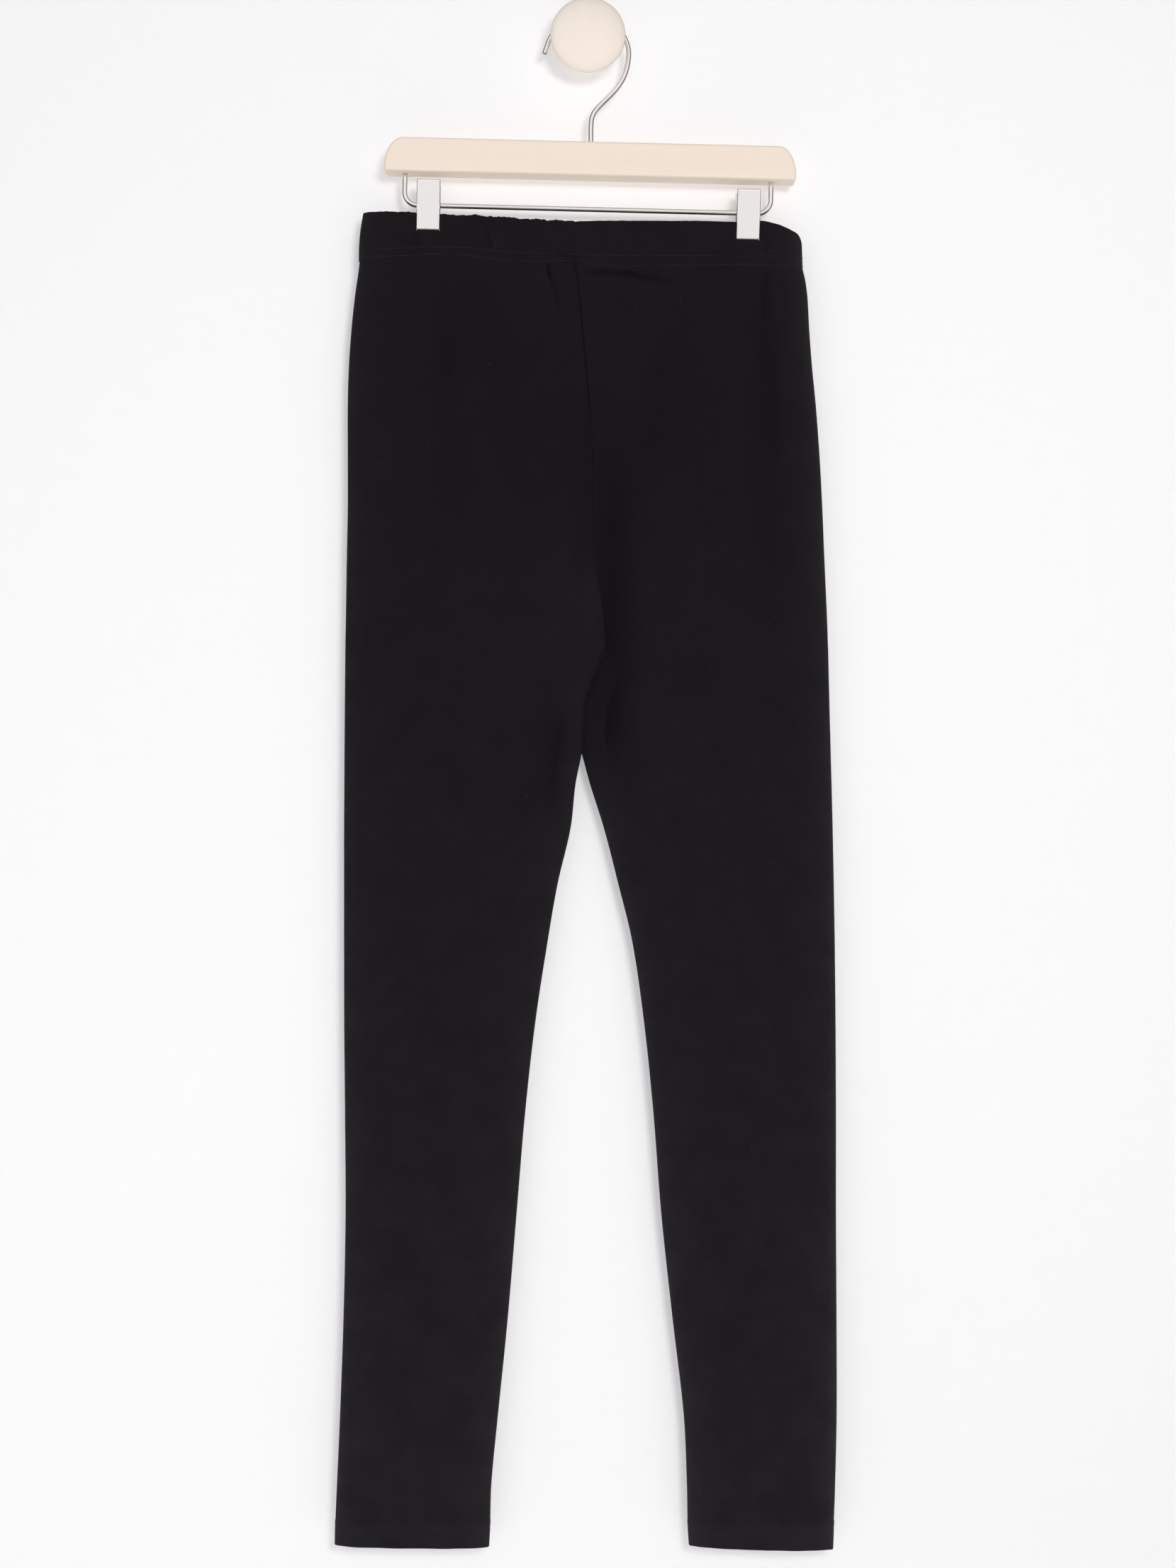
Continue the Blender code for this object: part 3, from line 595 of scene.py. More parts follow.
def stitch_lines(tree, place, direction, spacing):
    """Fine even lines across X or Z at a spacing in millimetres."""
    inputs = {"Vector": place, "Scale": 0.1 * math.pi / (spacing * MM), "Distortion": 0.4, "Detail": 1.0}
    settings = {"wave_type": "BANDS", "bands_direction": direction, "wave_profile": "SIN"}
    return add_node(tree, "ShaderNodeTexWave", inputs, **settings).outputs["Fac"]


def make_jersey(name, upper):
    """Black jersey: upright wales and level courses, a little fuzz and lint, painted light and
    shade from the mesh's painted_shading attribute, and a tone that grows lighter towards the ankles."""
    finish, tree, shader, place = begin_finish(name)
    height = add_node(tree, "ShaderNodeSeparateXYZ", {0: place}).outputs["Z"]
    # Darker at the top and lighter towards the ankles
    towards_ankles = calculate(tree, "POWER", fit_range(tree, height, -0.30, -1.08, 0.0, 1.0), 1.2)
    tone = mix_colours(tree, towards_ankles, upper, ANKLE_BLACK)
    patches = speckle(tree, place, 45.0, detail=4.0, roughness=0.6)
    cooler = fit_range(tree, patches, 0.42, 0.62, 0.0, 0.25)
    tone = mix_colours(tree, cooler, tone, COOL_BLACK)
    mottle = fit_range(tree, patches, 0.3, 0.7, 1.07, 0.94)
    fuzz = speckle(tree, place, 900.0, detail=4.0, roughness=0.7)
    amount = calculate(tree, "MULTIPLY", mottle, fit_range(tree, fuzz, 0.2, 0.8, 0.8, 1.2))
    # The mesh's painted light and shade scale the colour
    painted_shading = add_node(tree, "ShaderNodeAttribute", attribute_name="painted_shading").outputs["Fac"]
    amount = calculate(tree, "MULTIPLY", amount, calculate(tree, "ADD", painted_shading, 1.0))
    tone = scale_vector(tree, tone, amount)
    cells = add_node(tree, "ShaderNodeTexVoronoi", {"Vector": place, "Scale": 55.0})
    lint = fit_range(tree, cells.outputs["Distance"], 0.014, 0.024, 1.0, 0.0)
    tree.links.new(mix_colours(tree, lint, tone, LINT), shader.inputs["Base Color"])
    loops = calculate(tree, "ADD", stitch_lines(tree, place, "X", 0.9), stitch_lines(tree, place, "Z", 0.7))
    relief = calculate(tree, "MULTIPLY_ADD", fuzz, 1.4, loops)
    add_bump(tree, shader, relief, KNIT_STRENGTH, 0.00012)
    tree.links.new(fit_range(tree, fuzz, 0.2, 0.8, 0.82, 0.98), shader.inputs["Roughness"])
    shader.inputs["Specular IOR Level"].default_value = 0.12
    shader.inputs["Sheen Weight"].default_value = 0.05
    shader.inputs["Sheen Roughness"].default_value = 0.4
    return finish


leg_jersey = make_jersey("black_cotton_jersey", UPPER_BLACK)


def leg_rows():
    """Distances below the waist for the rows of a leg, closest at its top and at the crotch."""
    close, upper, lower = LEG_ROW_STEPS
    downs = []
    down = float(LEG_TOP)
    while down < LEG_END:
        downs.append(down)
        at_crotch = abs(down - CROTCH_CLOSE_ROWS_AT) < CROTCH_CLOSE_ROWS_REACH
        if down < LEG_CLOSE_ROWS_END or at_crotch:
            down += close
        else:
            down += upper if down < LEG_UPPER_ROWS_END else lower
    return downs + [LEG_END]


def leg_row(side, down, front, back):
    """A row of points round a leg panel."""
    section = section_at(down)
    return wrap_round(side, front, back, lambda face, share: leg_point(side, face, section, share))


def make_leg(name, side, node):
    """One leg panel, an open wrap above the crotch and a tube below it."""
    front, back = (shares_across(LEG_WIDTH, columns) for columns in (LEG_FRONT_COLUMNS, LEG_BACK_COLUMNS))
    rows = [leg_row(side, down, front, back) for down in leg_rows()]
    leg = add_cloth(name, rows, leg_jersey, "black_jersey", node, LEG_FOLDS)
    wall = leg.modifiers.new("jersey thickness", "SOLIDIFY")
    wall.thickness = JERSEY_THICKNESS * MM
    wall.offset = -1.0
    wall.use_even_offset = True
    bake(leg, 60.0)
    return leg


left_leg = make_leg("left_leg_panel", -1, "leg_left")
right_leg = make_leg("right_leg_panel", 1, "leg_right")


# Waistband
# A flat elastic in a casing of the same jersey, made in two halves that are joined with the
# legs at the centre front and centre back seams. The elastic draws the left half into fine
# ripples, and the clips press it flat.
BAND_WALL = 2.2
BAND_FOLD_RADIUS = 3.6
BAND_PROUD = 0.25
BAND_SEAM = (-9.2, -10.2)
BAND_OUTER = {-1: (-163.1, -166.1), 1: (155.4, 155.7)}
BAND_BULGE = {-1: 0.9, 1: 0.0}
BAND_FRONT_COLUMNS = 130
BAND_BACK_COLUMNS = 80
BAND_UPPER_SHARE = 0.68
BAND_UPPER_ROWS = 20
BAND_LOWER_SHARE = 0.32
BAND_LOWER_ROWS = 32
RIPPLE_HEIGHT = 0.42
RIPPLE_WIDTH = 2.6
SWELL_HEIGHT = 0.45
SWELL_WIDTH = 11.0
STITCH_GROOVE_DEPTH = 0.34
STITCH_GROOVE_WIDTH = 0.7
BAND_BLACK = (0.0083, 0.0069, 0.0083, 1.0)
BAND_TOP = (
    Edge(-163, 0.5), Edge(-155, 0.2), Edge(-129, 0.3), Edge(-103, 1.9), Edge(-77, 3.7), Edge(-55, 4.9),
    Edge(-28, 6.8), Edge(-11, 7.6), Edge(11, 7.1), Edge(60, 7.2), Edge(108, 7.0), Edge(125, 6.2),
    Edge(135, 7.8), Edge(143, 10.4), Edge(149.5, 13.3), Edge(153, 15.8), Edge(155, 19.9), Edge(156, 24.5),
)
BAND_CREASES = {
    "front": (
        Fold(-74.5, 11, -69, 28, 1.4, -1.1), Fold(-71.5, 12, -66, 27, 2.0, 0.4),
        Fold(-126, 14, -121, 27, 1.5, -0.8), Fold(-27, 30, -7, 33.5, 1.2, -0.9),
        Fold(-24, 34, -9, 34.8, 1.0, 0.6), Fold(-20, 36.2, -4, 37.4, 1.1, -0.9),
        Fold(-5.5, 12, -5, 30, 3.0, 0.4), Fold(-103, 14, -100, 25, 2.2, 0.35),
        Fold(-30, 20, -29, 36, 1.8, -0.6), Fold(132, 14, 128, 36, 2.6, -0.6),
    ),
    "back": (
        Fold(-60, 12, -57, 29, 2.0, -0.6), Fold(48, 12, 46, 30, 2.2, -0.5),
        Fold(120, 14, 118, 30, 2.0, -0.4),
    ),
}
StitchLine = namedtuple("StitchLine", "x upper lower")
WAIST_STITCHES = (
    StitchLine(-162, 27.2, 33.0), StitchLine(-142, 27.1, 32.6), StitchLine(-119, 25.6, 31.0),
    StitchLine(-108, 25.8, 30.6), StitchLine(-89, 26.6, 32.0), StitchLine(-70, 28.7, 34.6),
    StitchLine(-52, 30.2, 36.5), StitchLine(-31, 31.0, 36.8), StitchLine(-8, 31.5, 36.2),
    StitchLine(0, 32.0, 38.1), StitchLine(11, 32.6, 39.6), StitchLine(34, 32.7, 39.8),
    StitchLine(64, 32.7, 39.7), StitchLine(95, 32.6, 39.0), StitchLine(118, 32.4, 38.3),
    StitchLine(128, 32.2, 38.8), StitchLine(143, 32.2, 39.3), StitchLine(156, 32.2, 39.4),
)


def stitch_line(row, x):
    """How far the upper or lower stitch row lies below the waist line."""
    return read_curve(WAIST_STITCHES, "x", row, x)


def band_relief(side, face, x, down, share, distance):
    """The band's ripples, creases, stitch grooves and centre seam, outwards from its form."""
    free = 1.0 - clip_pinch(x) * fade(down, 12.0, 10.0)
    seed = 0.0 if face == "front" else 5.9
    gathered = blend(1.0, 0.16, grow(x, -22.0, 14.0))
    ripple = noise.noise(Vector((x / RIPPLE_WIDTH, share * 1.3, seed)))
    swell = noise.noise(Vector((x / SWELL_WIDTH, share * 1.1, seed + 4.0)))
    relief = BAND_PROUD + gathered * (RIPPLE_HEIGHT * ripple + SWELL_HEIGHT * swell)
    relief += fold_height(BAND_CREASES, face, x, down)
    relief = blend(relief, slack(face, x, band_bottom(x)), grow(share, 0.84, 0.16))
    grooves = (bell(down - stitch_line(line, x), STITCH_GROOVE_WIDTH) for line in ("upper", "lower"))
    relief -= sum(STITCH_GROOVE_DEPTH * groove for groove in grooves)
    return (relief + centre_seam_relief(side, distance, down)) * free


def ragged_edge(x):
    """How far the casing's gathered upper edge dips and stands up beside its smooth line."""
    ragged = blend(0.3, 1.0, grow(x, -112.0, 30.0)) * blend(1.0, 0.12, grow(x, -12.0, 8.0))
    wide, fine = noise.noise(Vector((x / 2.7, 2.3, 0.5))), noise.noise(Vector((x, 7.3, 0.5)))
    nick = ragged * (1.2 * wide + 0.7 * fine)
    return nick - (0.9 * bell(x + 129.9, 0.9) + 0.9 * bell(x + 103.6, 0.8))


def band_row(side, share, rise=0.0):
    """A row of points round half the band, at a share of its height, raised by rise."""
    inner = blend(*BAND_SEAM, share) + side * SEAM_GAP
    outer = blend(*BAND_OUTER[side], share) + side * BAND_BULGE[side] * math.sin(math.pi * share)
    width = abs(outer - inner)

    def point(face, across):
        distance = across * width
        x = inner + side * distance
        top = read_curve(BAND_TOP, "x", "down", x) + BAND_WALL / 2 + ragged_edge(x)
        down = blend(top, band_bottom(x), share) - rise
        depth = half_depth(x, down, SECTIONS[0].depth)
        edge = round_edge(width - distance, depth, BAND_FOLD_RADIUS)
        relief = band_relief(side, face, x, down, share, distance) * edge * edge
        outward = -1.0 if face == "front" else 1.0
        return x, middle(x, down) + outward * (depth * edge + relief), WAIST_Z - down

    front, back = shares_across(width, BAND_FRONT_COLUMNS), shares_across(width, BAND_BACK_COLUMNS)
    return wrap_round(side, front, back, point)


def outward_at(row, i, closed):
    """The level direction that points out of the cloth at a point of a row."""
    last = len(row) - 1
    before = row[i - 1] if i else (row[last - 1] if closed else row[0])
    after = row[i + 1] if i < last else (row[1] if closed else row[last])
    run = Vector((after[0] - before[0], after[1] - before[1])).normalized()
    return Vector((run.y, -run.x, 0.0))


def inset_row(row, inset, closed):
    """The row moved into the cloth by a distance."""
    return [tuple(Vector(point) - outward_at(row, i, closed) * inset) for i, point in enumerate(row)]


def turn_over(wall, steps=6):
    """The rise and the inset of each row over a folded edge, from the outside to the inside."""
    turns = [math.pi * step / steps for step in range(1, steps)]
    return [(wall / 2 * math.sin(turn), wall / 2 * (1.0 - math.cos(turn))) for turn in turns]


def make_waistband(name, side, node):
    """Half of the band as one closed casing, from its lower edge up, over and down inside."""
    shares = [BAND_UPPER_SHARE * i / BAND_UPPER_ROWS for i in range(BAND_UPPER_ROWS)]
    for i in range(BAND_LOWER_ROWS):
        shares.append(BAND_UPPER_SHARE + BAND_LOWER_SHARE * i / (BAND_LOWER_ROWS - 1))
    rows = [band_row(side, share) for share in shares[::-1]]
    rows += [inset_row(band_row(side, 0.0, rise), inset, False) for rise, inset in turn_over(BAND_WALL)]
    rows += [inset_row(band_row(side, share), BAND_WALL, False) for share in (0.0, 0.2, 0.4, 0.6, 0.8, 1.0)]
    rows.append(rows[0])
    rows.reverse()
    band = add_cloth(name, rows, band_jersey, "waistband_jersey", node, BAND_CREASES)
    mend(band.data, close=True)
    band.data.set_sharp_from_angle(angle=math.radians(60.0))
    return band


band_jersey = make_jersey("waistband_jersey", BAND_BLACK)
left_band = make_waistband("left_waistband", -1, "waistband_left")
right_band = make_waistband("right_waistband", 1, "waistband_right")


# Ankle hems
# The last 20 mm of each leg is turned up inside, so the ankle edge is a soft double fold that
# stands slightly proud of the single cloth above it.
HEM_TOP = 943.5
HEM_BOTTOM = 966.5
HEM_WALL = 2.0
HEM_PROUD = 0.25
HEM_FOLD_RADIUS = 3.2
HEM_COLUMNS = 60
HEM_WIDTH = 114.0
HEM_ROWS = 24
HEM_ROW_STEP = 0.45
HEM_GROOVE_DEPTH = 0.2
HEM_CORNER_DROP = {-1: 0.9, 1: 1.3}
HEM_CORNER_WIDTH = 2.6
HEM_WAVE_HEIGHT = 0.3
HEM_WAVE_WIDTH = 16.0
HEM_STITCHES = (945.4, 952.0)
HEM_EDGE = (
    Edge(-184, 964.1), Edge(-165, 965.3), Edge(-120, 966.1), Edge(-70, 965.9), Edge(70, 963.9),
    Edge(82, 965.3), Edge(95, 966.2), Edge(125, 967.4), Edge(150, 967.8), Edge(178, 967.3),
)


def hem_row(side, down, drop=0.0):
    """A row of points round a hem, which its rounded lower edge drops below the given level."""
    section = section_at(down + drop)
    width = section.right_outer - section.right_inner
    step = grow(down, HEM_TOP, 5.0)
    grooves = sum(bell(down - line, STITCH_GROOVE_WIDTH) for line in HEM_STITCHES)
    proud = blend(-HEM_PROUD, HEM_PROUD, step) - HEM_GROOVE_DEPTH * grooves * step

    def point(face, across):
        x, y, z = leg_point(side, face, section, across, HEM_FOLD_RADIUS, proud)
        beside = min(across, 1.0 - across) * width
        lower = read_curve(HEM_EDGE, "x", "down", x) - HEM_BOTTOM
        lower += HEM_CORNER_DROP[side] * math.exp(-beside / HEM_CORNER_WIDTH)
        lower *= (down - HEM_TOP) / (HEM_BOTTOM - HEM_TOP)
        wave = HEM_WAVE_HEIGHT * noise.noise(Vector((x / HEM_WAVE_WIDTH, side * 4.0, 0.0))) * step
        return x, y, z - lower + wave

    shares = shares_across(HEM_WIDTH, HEM_COLUMNS)
    return wrap_round(side, shares, shares, point)


def make_hem(name, side, node):
    """A hem as one closed casing, from its upper edge down, under and up inside."""
    fold = HEM_BOTTOM - HEM_WALL / 2
    downs = [HEM_TOP + HEM_ROW_STEP * i for i in range(HEM_ROWS)]
    downs += [blend(downs[-1], fold, i / 9) for i in range(1, 10)]
    rows = [hem_row(side, down) for down in downs]
    rows += [inset_row(hem_row(side, fold, drop), inset, True) for drop, inset in turn_over(HEM_WALL)]
    rows += [inset_row(hem_row(side, down), HEM_WALL, True) for down in (fold, 958.0, 951.0, HEM_TOP)]
    rows.append(rows[0])
    hem = add_cloth(name, rows, leg_jersey, "black_jersey", node, {})
    hem.data.set_sharp_from_angle(angle=math.radians(60.0))
    return hem


left_hem = make_hem("left_ankle_hem", -1, "hem_left")
right_hem = make_hem("right_ankle_hem", 1, "hem_right")


# Coverstitching
# Two rows of black polyester thread hold the waistband's casing, and two more hold each hem.
# Each stitch is a short slanted thread that dips into the cloth at both needle holes, and a
# small black disc at each needle hole between the stitches is painted shade for the hole.
THREAD_RADIUS = 0.33
THREAD_SIDES = 6
THREAD_SLANT = 0.22
HOLE_SHADE_RADIUS = 0.42
WAIST_PITCH = 2.2
HEM_PITCH = 2.62
THREAD_SHARE = 0.44
THREAD_START = 0.1
HOLE_SHADE_START = 0.35
HOLE_SHADE_LIFT = 0.06
HOLE_SHADE_FLATNESS = 0.7
SINK_UNEVENNESS = 0.9
SINK_WAVE = 11.0
WAIST_SINK = 0.08
HEM_SINK = {-1: 0.26, 1: 0.62}
THREAD_DARK = (0.011, 0.0095, 0.011, 1.0)
THREAD_PALE = (0.029, 0.026, 0.03, 1.0)
HOLE_SHADE_BLACK = (0.0022, 0.0017, 0.0022, 1.0)
Ring = namedtuple("Ring", "along size lift")
STITCH = (Ring(0.0, 0.35, -0.16), Ring(0.16, 0.95, 0.04), Ring(0.5, 1.0, 0.1), Ring(0.84, 0.95, 0.04),
          Ring(1.0, 0.35, -0.16))


def make_thread():
    finish, tree, shader, place = begin_finish("black_thread")
    fibres = speckle(tree, place, 1500.0)
    tone = mix_colours(tree, fibres, THREAD_DARK, THREAD_PALE)
    # The black discs at the needle holes are painted shade
    hole_shade = add_node(tree, "ShaderNodeAttribute", attribute_name="hole_shade").outputs["Fac"]
    tone = mix_colours(tree, hole_shade, tone, HOLE_SHADE_BLACK)
    tree.links.new(tone, shader.inputs["Base Color"])
    tree.links.new(fit_range(tree, fibres, 0.2, 0.8, 0.4, 0.6), shader.inputs["Roughness"])
    shader.inputs["Specular IOR Level"].default_value = 0.25
    return finish


thread = make_thread()


def point_along(row, travelled, at):
    """The point of a row at a distance along it, and its place in the row."""
    i = next((k for k in range(1, len(travelled)) if travelled[k] >= at), len(travelled) - 1)
    share = (at - travelled[i - 1]) / max(travelled[i] - travelled[i - 1], 0.000001)
    return Vector(row[i - 1]).lerp(Vector(row[i]), share), i - 1


def circle(count):
    """The cosine and sine of even turns round a circle."""
    turns = [2.0 * math.pi * k / count for k in range(count)]
    return [(math.cos(turn), math.sin(turn)) for turn in turns]


def ring_faces(rings, count, first=0):
    """Faces between closed rings of points that follow each other."""
    faces = []
    for ring in range(rings - 1):
        start = first + ring * count
        for k in range(count):
            here, following = start + k, start + (k + 1) % count
            faces.append((here, following, following + count, here + count))
    return faces


def thread_points(start, end, across, out, sunk):
    """The rings of points of one slanted thread, whose ends dip into the cloth."""
    points = []
    for ring in STITCH:
        slant = across * THREAD_SLANT * (1.0 - 2.0 * ring.along)
        centre = start.lerp(end, ring.along) + slant + out * (ring.lift + sunk)
        for cosine, sine in circle(THREAD_SIDES):
            spoke = across * cosine + out * sine
            points.append((centre + spoke * THREAD_RADIUS * ring.size) * MM)
    return points


def hole_shade_points(hole, run, across, out, sunk):
    """The rim of the small black disc beside a thread, painted shade for its needle hole."""
    points = []
    for cosine, sine in circle(THREAD_SIDES):
        spoke = (across * cosine + run * HOLE_SHADE_FLATNESS * sine) * HOLE_SHADE_RADIUS
        points.append((hole + spoke + out * (HOLE_SHADE_LIFT + 0.5 * sunk)) * MM)
    return points


def add_stitches(name, rows, closed, pitch, sink):
    """All the stitches along the given rows, as one piece, drawn into the cloth by sink."""
    points, faces, hole_shades = [], [], []
    for row in rows:
        travelled = [0.0]
        for here, following in zip(row, row[1:]):
            travelled.append(travelled[-1] + (Vector(following) - Vector(here)).length)
        for stitch in range(int(travelled[-1] / pitch)):
            start, i = point_along(row, travelled, (stitch + THREAD_START) * pitch)
            end, _ = point_along(row, travelled, (stitch + THREAD_START + THREAD_SHARE) * pitch)
            hole, _ = point_along(row, travelled, (stitch + HOLE_SHADE_START + 0.75 * THREAD_SHARE) * pitch)
            out = outward_at(row, i, closed)
            across = (end - start).cross(out).normalized()
            sunk = min(SINK_UNEVENNESS * noise.noise(start / SINK_WAVE) - sink, 0.0)
            faces += ring_faces(len(STITCH), THREAD_SIDES, len(points))
            points += thread_points(start, end, across, out, sunk)
            hole_shades += [0.0] * (len(points) - len(hole_shades))
            faces.append(tuple(range(len(points), len(points) + THREAD_SIDES)))
            points += hole_shade_points(hole, (end - start).normalized(), across, out, sunk)
            hole_shades += [1.0] * THREAD_SIDES
    mesh = new_mesh(name, points, faces)
    mesh.attributes.new("hole_shade", "FLOAT", "POINT").data.foreach_set("value", hole_shades)
    mesh.shade_smooth()
    return add_piece(name, mesh, thread, "black_jersey")


def waist_stitch_row(side, line):
    """The upper or lower stitch row's path round half the band."""
    levels = [band_row(side, share) for share in (0.5, 0.6, 0.7, 0.8, 0.9, 1.0)]
    row = []
    for i, lowest in enumerate(levels[-1]):
        wanted = WAIST_Z - stitch_line(line, lowest[0])
        low = next(k for k in range(1, len(levels)) if levels[k][i][2] <= wanted or k == len(levels) - 1)
        upper, lower = Vector(levels[low - 1][i]), Vector(levels[low][i])
        row.append(tuple(upper.lerp(lower, (upper.z - wanted) / (upper.z - lower.z))))
    return row


waist_rows = [waist_stitch_row(side, line) for side in (-1, 1) for line in ("upper", "lower")]
waist_stitches = add_stitches("waist_stitches", waist_rows, False, WAIST_PITCH, WAIST_SINK)
left_paths, right_paths = ([hem_row(side, down) for down in HEM_STITCHES] for side in (-1, 1))
left_stitches = add_stitches("left_hem_stitches", left_paths, True, HEM_PITCH, HEM_SINK[-1])
right_stitches = add_stitches("right_hem_stitches", right_paths, True, HEM_PITCH, HEM_SINK[1])


# Hanger bar
# A bar of pale birch with round upper corners and softened edges, bored from above for the
# hook's shank and from below for the two ends of the rail.
HANGER_TILT = math.radians(1.4)
BAR_LENGTH = 297.0
BAR_HEIGHT = 24.3
BAR_DEPTH = 18.0
BAR_CENTRE = Vector((1.8, GARMENT_Y, -88.0))
BAR_TOP_CORNER = (13.0, 21.0)
BAR_BOTTOM_CORNER = (2.0, 2.0)
BAR_EDGE = 1.6
WIRE_RADIUS = 1.75
BORE_RADIUS = 2.05
SHANK_X = 2.1
SHANK_DEPTH = 14.0
RAIL_HALF_WIDTH = 132.6
RAIL_SHIFT = -1.4
RAIL_SOCKET = 11.0
DRILL_CLEARANCE = 0.3
BIRCH_PALE = (0.825, 0.716, 0.612, 1.0)
BIRCH_DARK = (0.80, 0.688, 0.58, 1.0)
BIRCH_GRAIN = (5.0, 110.0, 110.0)
PORE_BROWN = (0.42, 0.27, 0.15, 1.0)


def make_wood(name, pale, dark, stretch, fleck):
    """Pale close-grained wood: faint streaks along the grain and fine pores."""
    finish, tree, shader, place = begin_finish(name)
    along = scale_vector(tree, place, stretch)
    streaks = fit_range(tree, speckle(tree, along, 1.0, detail=5.0, roughness=0.6), 0.35, 0.7, 0.0, 1.0)
    tone = mix_colours(tree, streaks, pale, dark)
    pores = fit_range(tree, speckle(tree, along, 9.0, detail=2.0), 0.66, 0.74, 0.0, fleck)
    tone = mix_colours(tree, pores, tone, PORE_BROWN)
    tree.links.new(tone, shader.inputs["Base Color"])
    tree.links.new(fit_range(tree, streaks, 0.0, 1.0, 0.5, 0.62), shader.inputs["Roughness"])
    add_bump(tree, shader, streaks, 0.12, 0.0002)
    shader.inputs["Specular IOR Level"].default_value = 0.3
    return finish


def on_hanger(x, y, z):
    """The place in millimetres of one measured from the middle of the tilted bar."""
    return BAR_CENTRE + Matrix.Rotation(HANGER_TILT, 3, "Y") @ Vector((x, y, z))


def bar_outline():
    """The bar's outline seen from the front, in millimetres from its middle."""
    outline = []
    for (wide, high), sign_x, sign_z, start, steps in (
        (BAR_TOP_CORNER, 1, 1, 0.0, 24), (BAR_TOP_CORNER, -1, 1, 90.0, 24),
        (BAR_BOTTOM_CORNER, -1, -1, 180.0, 8), (BAR_BOTTOM_CORNER, 1, -1, 270.0, 8),
    ):
        for step in range(steps + 1):
            turn = math.radians(start + 90.0 * step / steps)
            outline.append((sign_x * (BAR_LENGTH / 2 - wide) + wide * math.cos(turn),
                            sign_z * (BAR_HEIGHT / 2 - high) + high * math.sin(turn)))
    return outline


def quarter_turns(steps):
    """The angles of even steps over a quarter turn, with both its ends."""
    return [math.pi / 2 * step / steps for step in range(steps + 1)]


def bar_mesh():
    """The bar's sawn and rounded form: its outline in layers that close in towards both faces."""
    outline = bar_outline()
    half = BAR_DEPTH / 2
    layers = [(BAR_EDGE * (1.0 - math.sin(turn)), -half + BAR_EDGE * (1.0 - math.cos(turn)))
              for turn in quarter_turns(5)]
    layers += [(inset, -y) for inset, y in reversed(layers)]
    points = []
    count = len(outline)
    for inset, y in layers:
        for i, (x, z) in enumerate(outline):
            before, after = outline[i - 1], outline[(i + 1) % count]
            run = Vector((after[0] - before[0], after[1] - before[1])).normalized()
            points.append(on_hanger(x - run.y * inset, y, z + run.x * inset) * MM)
    faces = ring_faces(len(layers), count)
    faces.append(tuple(range(count)))
    faces.append(tuple(reversed(range(len(points) - count, len(points)))))
    return new_mesh("birch_bar", points, faces)


def drill(bar, mouth, depth, tilt):
    """Drills a round hole along the bar's height, as deep as given from its mouth."""
    mesh = bpy.data.meshes.new("drill")
    shape = bmesh.new()
    bmesh.ops.create_cone(shape, cap_ends=True, segments=32, radius1=BORE_RADIUS * MM,
                          radius2=BORE_RADIUS * MM, depth=2.0 * depth * MM)
    shape.transform(Matrix.Translation(mouth * MM) @ Matrix.Rotation(tilt, 4, "Y"))
    shape.to_mesh(mesh)
    shape.free()
    bit = put_in_scene("drill", mesh)
    hole = bar.modifiers.new("hole", "BOOLEAN")
    hole.operation = "DIFFERENCE"
    hole.solver = "EXACT"
    hole.object = bit
    bake(bar, 35.0)
    bpy.data.objects.remove(bit)


birch = make_wood("pale_birch", BIRCH_PALE, BIRCH_DARK, BIRCH_GRAIN, 0.06)
bar = add_piece("birch_bar", bar_mesh(), birch, "birch", "hanger_bar")
bar_top = Vector((SHANK_X, GARMENT_Y, BAR_CENTRE.z + BAR_HEIGHT / 2))
drill(bar, bar_top, SHANK_DEPTH + DRILL_CLEARANCE, 0.0)
for side in (-1, 1):
    mouth = on_hanger(side * RAIL_HALF_WIDTH + RAIL_SHIFT, 0.0, -BAR_HEIGHT / 2)
    drill(bar, mouth, RAIL_SOCKET + DRILL_CLEARANCE, HANGER_TILT)


# Hook and rail
# Both are bent from bright satin steel wire of 3.5 mm. The hook curls over the knob's neck and
# its shank is driven into the bar; the rail's two ends are pressed into the bar from below.
CROOK_CENTRE = (1.5, -10.9)
CROOK_RADIUS = 28.0
RAIL_DROP = 34.8
RAIL_BEND = 9.5
STEEL = (0.80, 0.765, 0.74)
STEEL_BRUSHING = (500.0, 500.0, 500.0)


def make_metal(name, colour, rough, polish):
    """Satin metal: very fine brushing, slightly uneven in its shine."""
    finish, tree, shader, place = begin_finish(name)
    brushing = speckle(tree, scale_vector(tree, place, polish), 1.0, detail=4.0)
    dark = tuple(channel * 0.9 for channel in colour) + (1.0,)
    tree.links.new(mix_colours(tree, brushing, dark, (*colour, 1.0)), shader.inputs["Base Color"])
    uneven = fit_range(tree, brushing, 0.2, 0.8, rough * 0.85, rough * 1.15)
    tree.links.new(uneven, shader.inputs["Roughness"])
    add_bump(tree, shader, brushing, 0.02, 0.00003)
    shader.inputs["Metallic"].default_value = 1.0
    return finish


def smooth_route(points, steps):
    """Points along a smooth curve that passes through each given point."""
    padded = [points[0]] + list(points) + [points[-1]]
    route = []
    for i in range(1, len(padded) - 2):
        before, start, end, after = (Vector(padded[i + k]) for k in (-1, 0, 1, 2))
        for step in range(steps):
            t = step / steps
            route.append(
                0.5 * (2 * start + (end - before) * t
                       + (2 * before - 5 * start + 4 * end - after) * t ** 2
                       + (3 * start - before - 3 * end + after) * t ** 3)
            )
    route.append(Vector(padded[-2]))
    return route


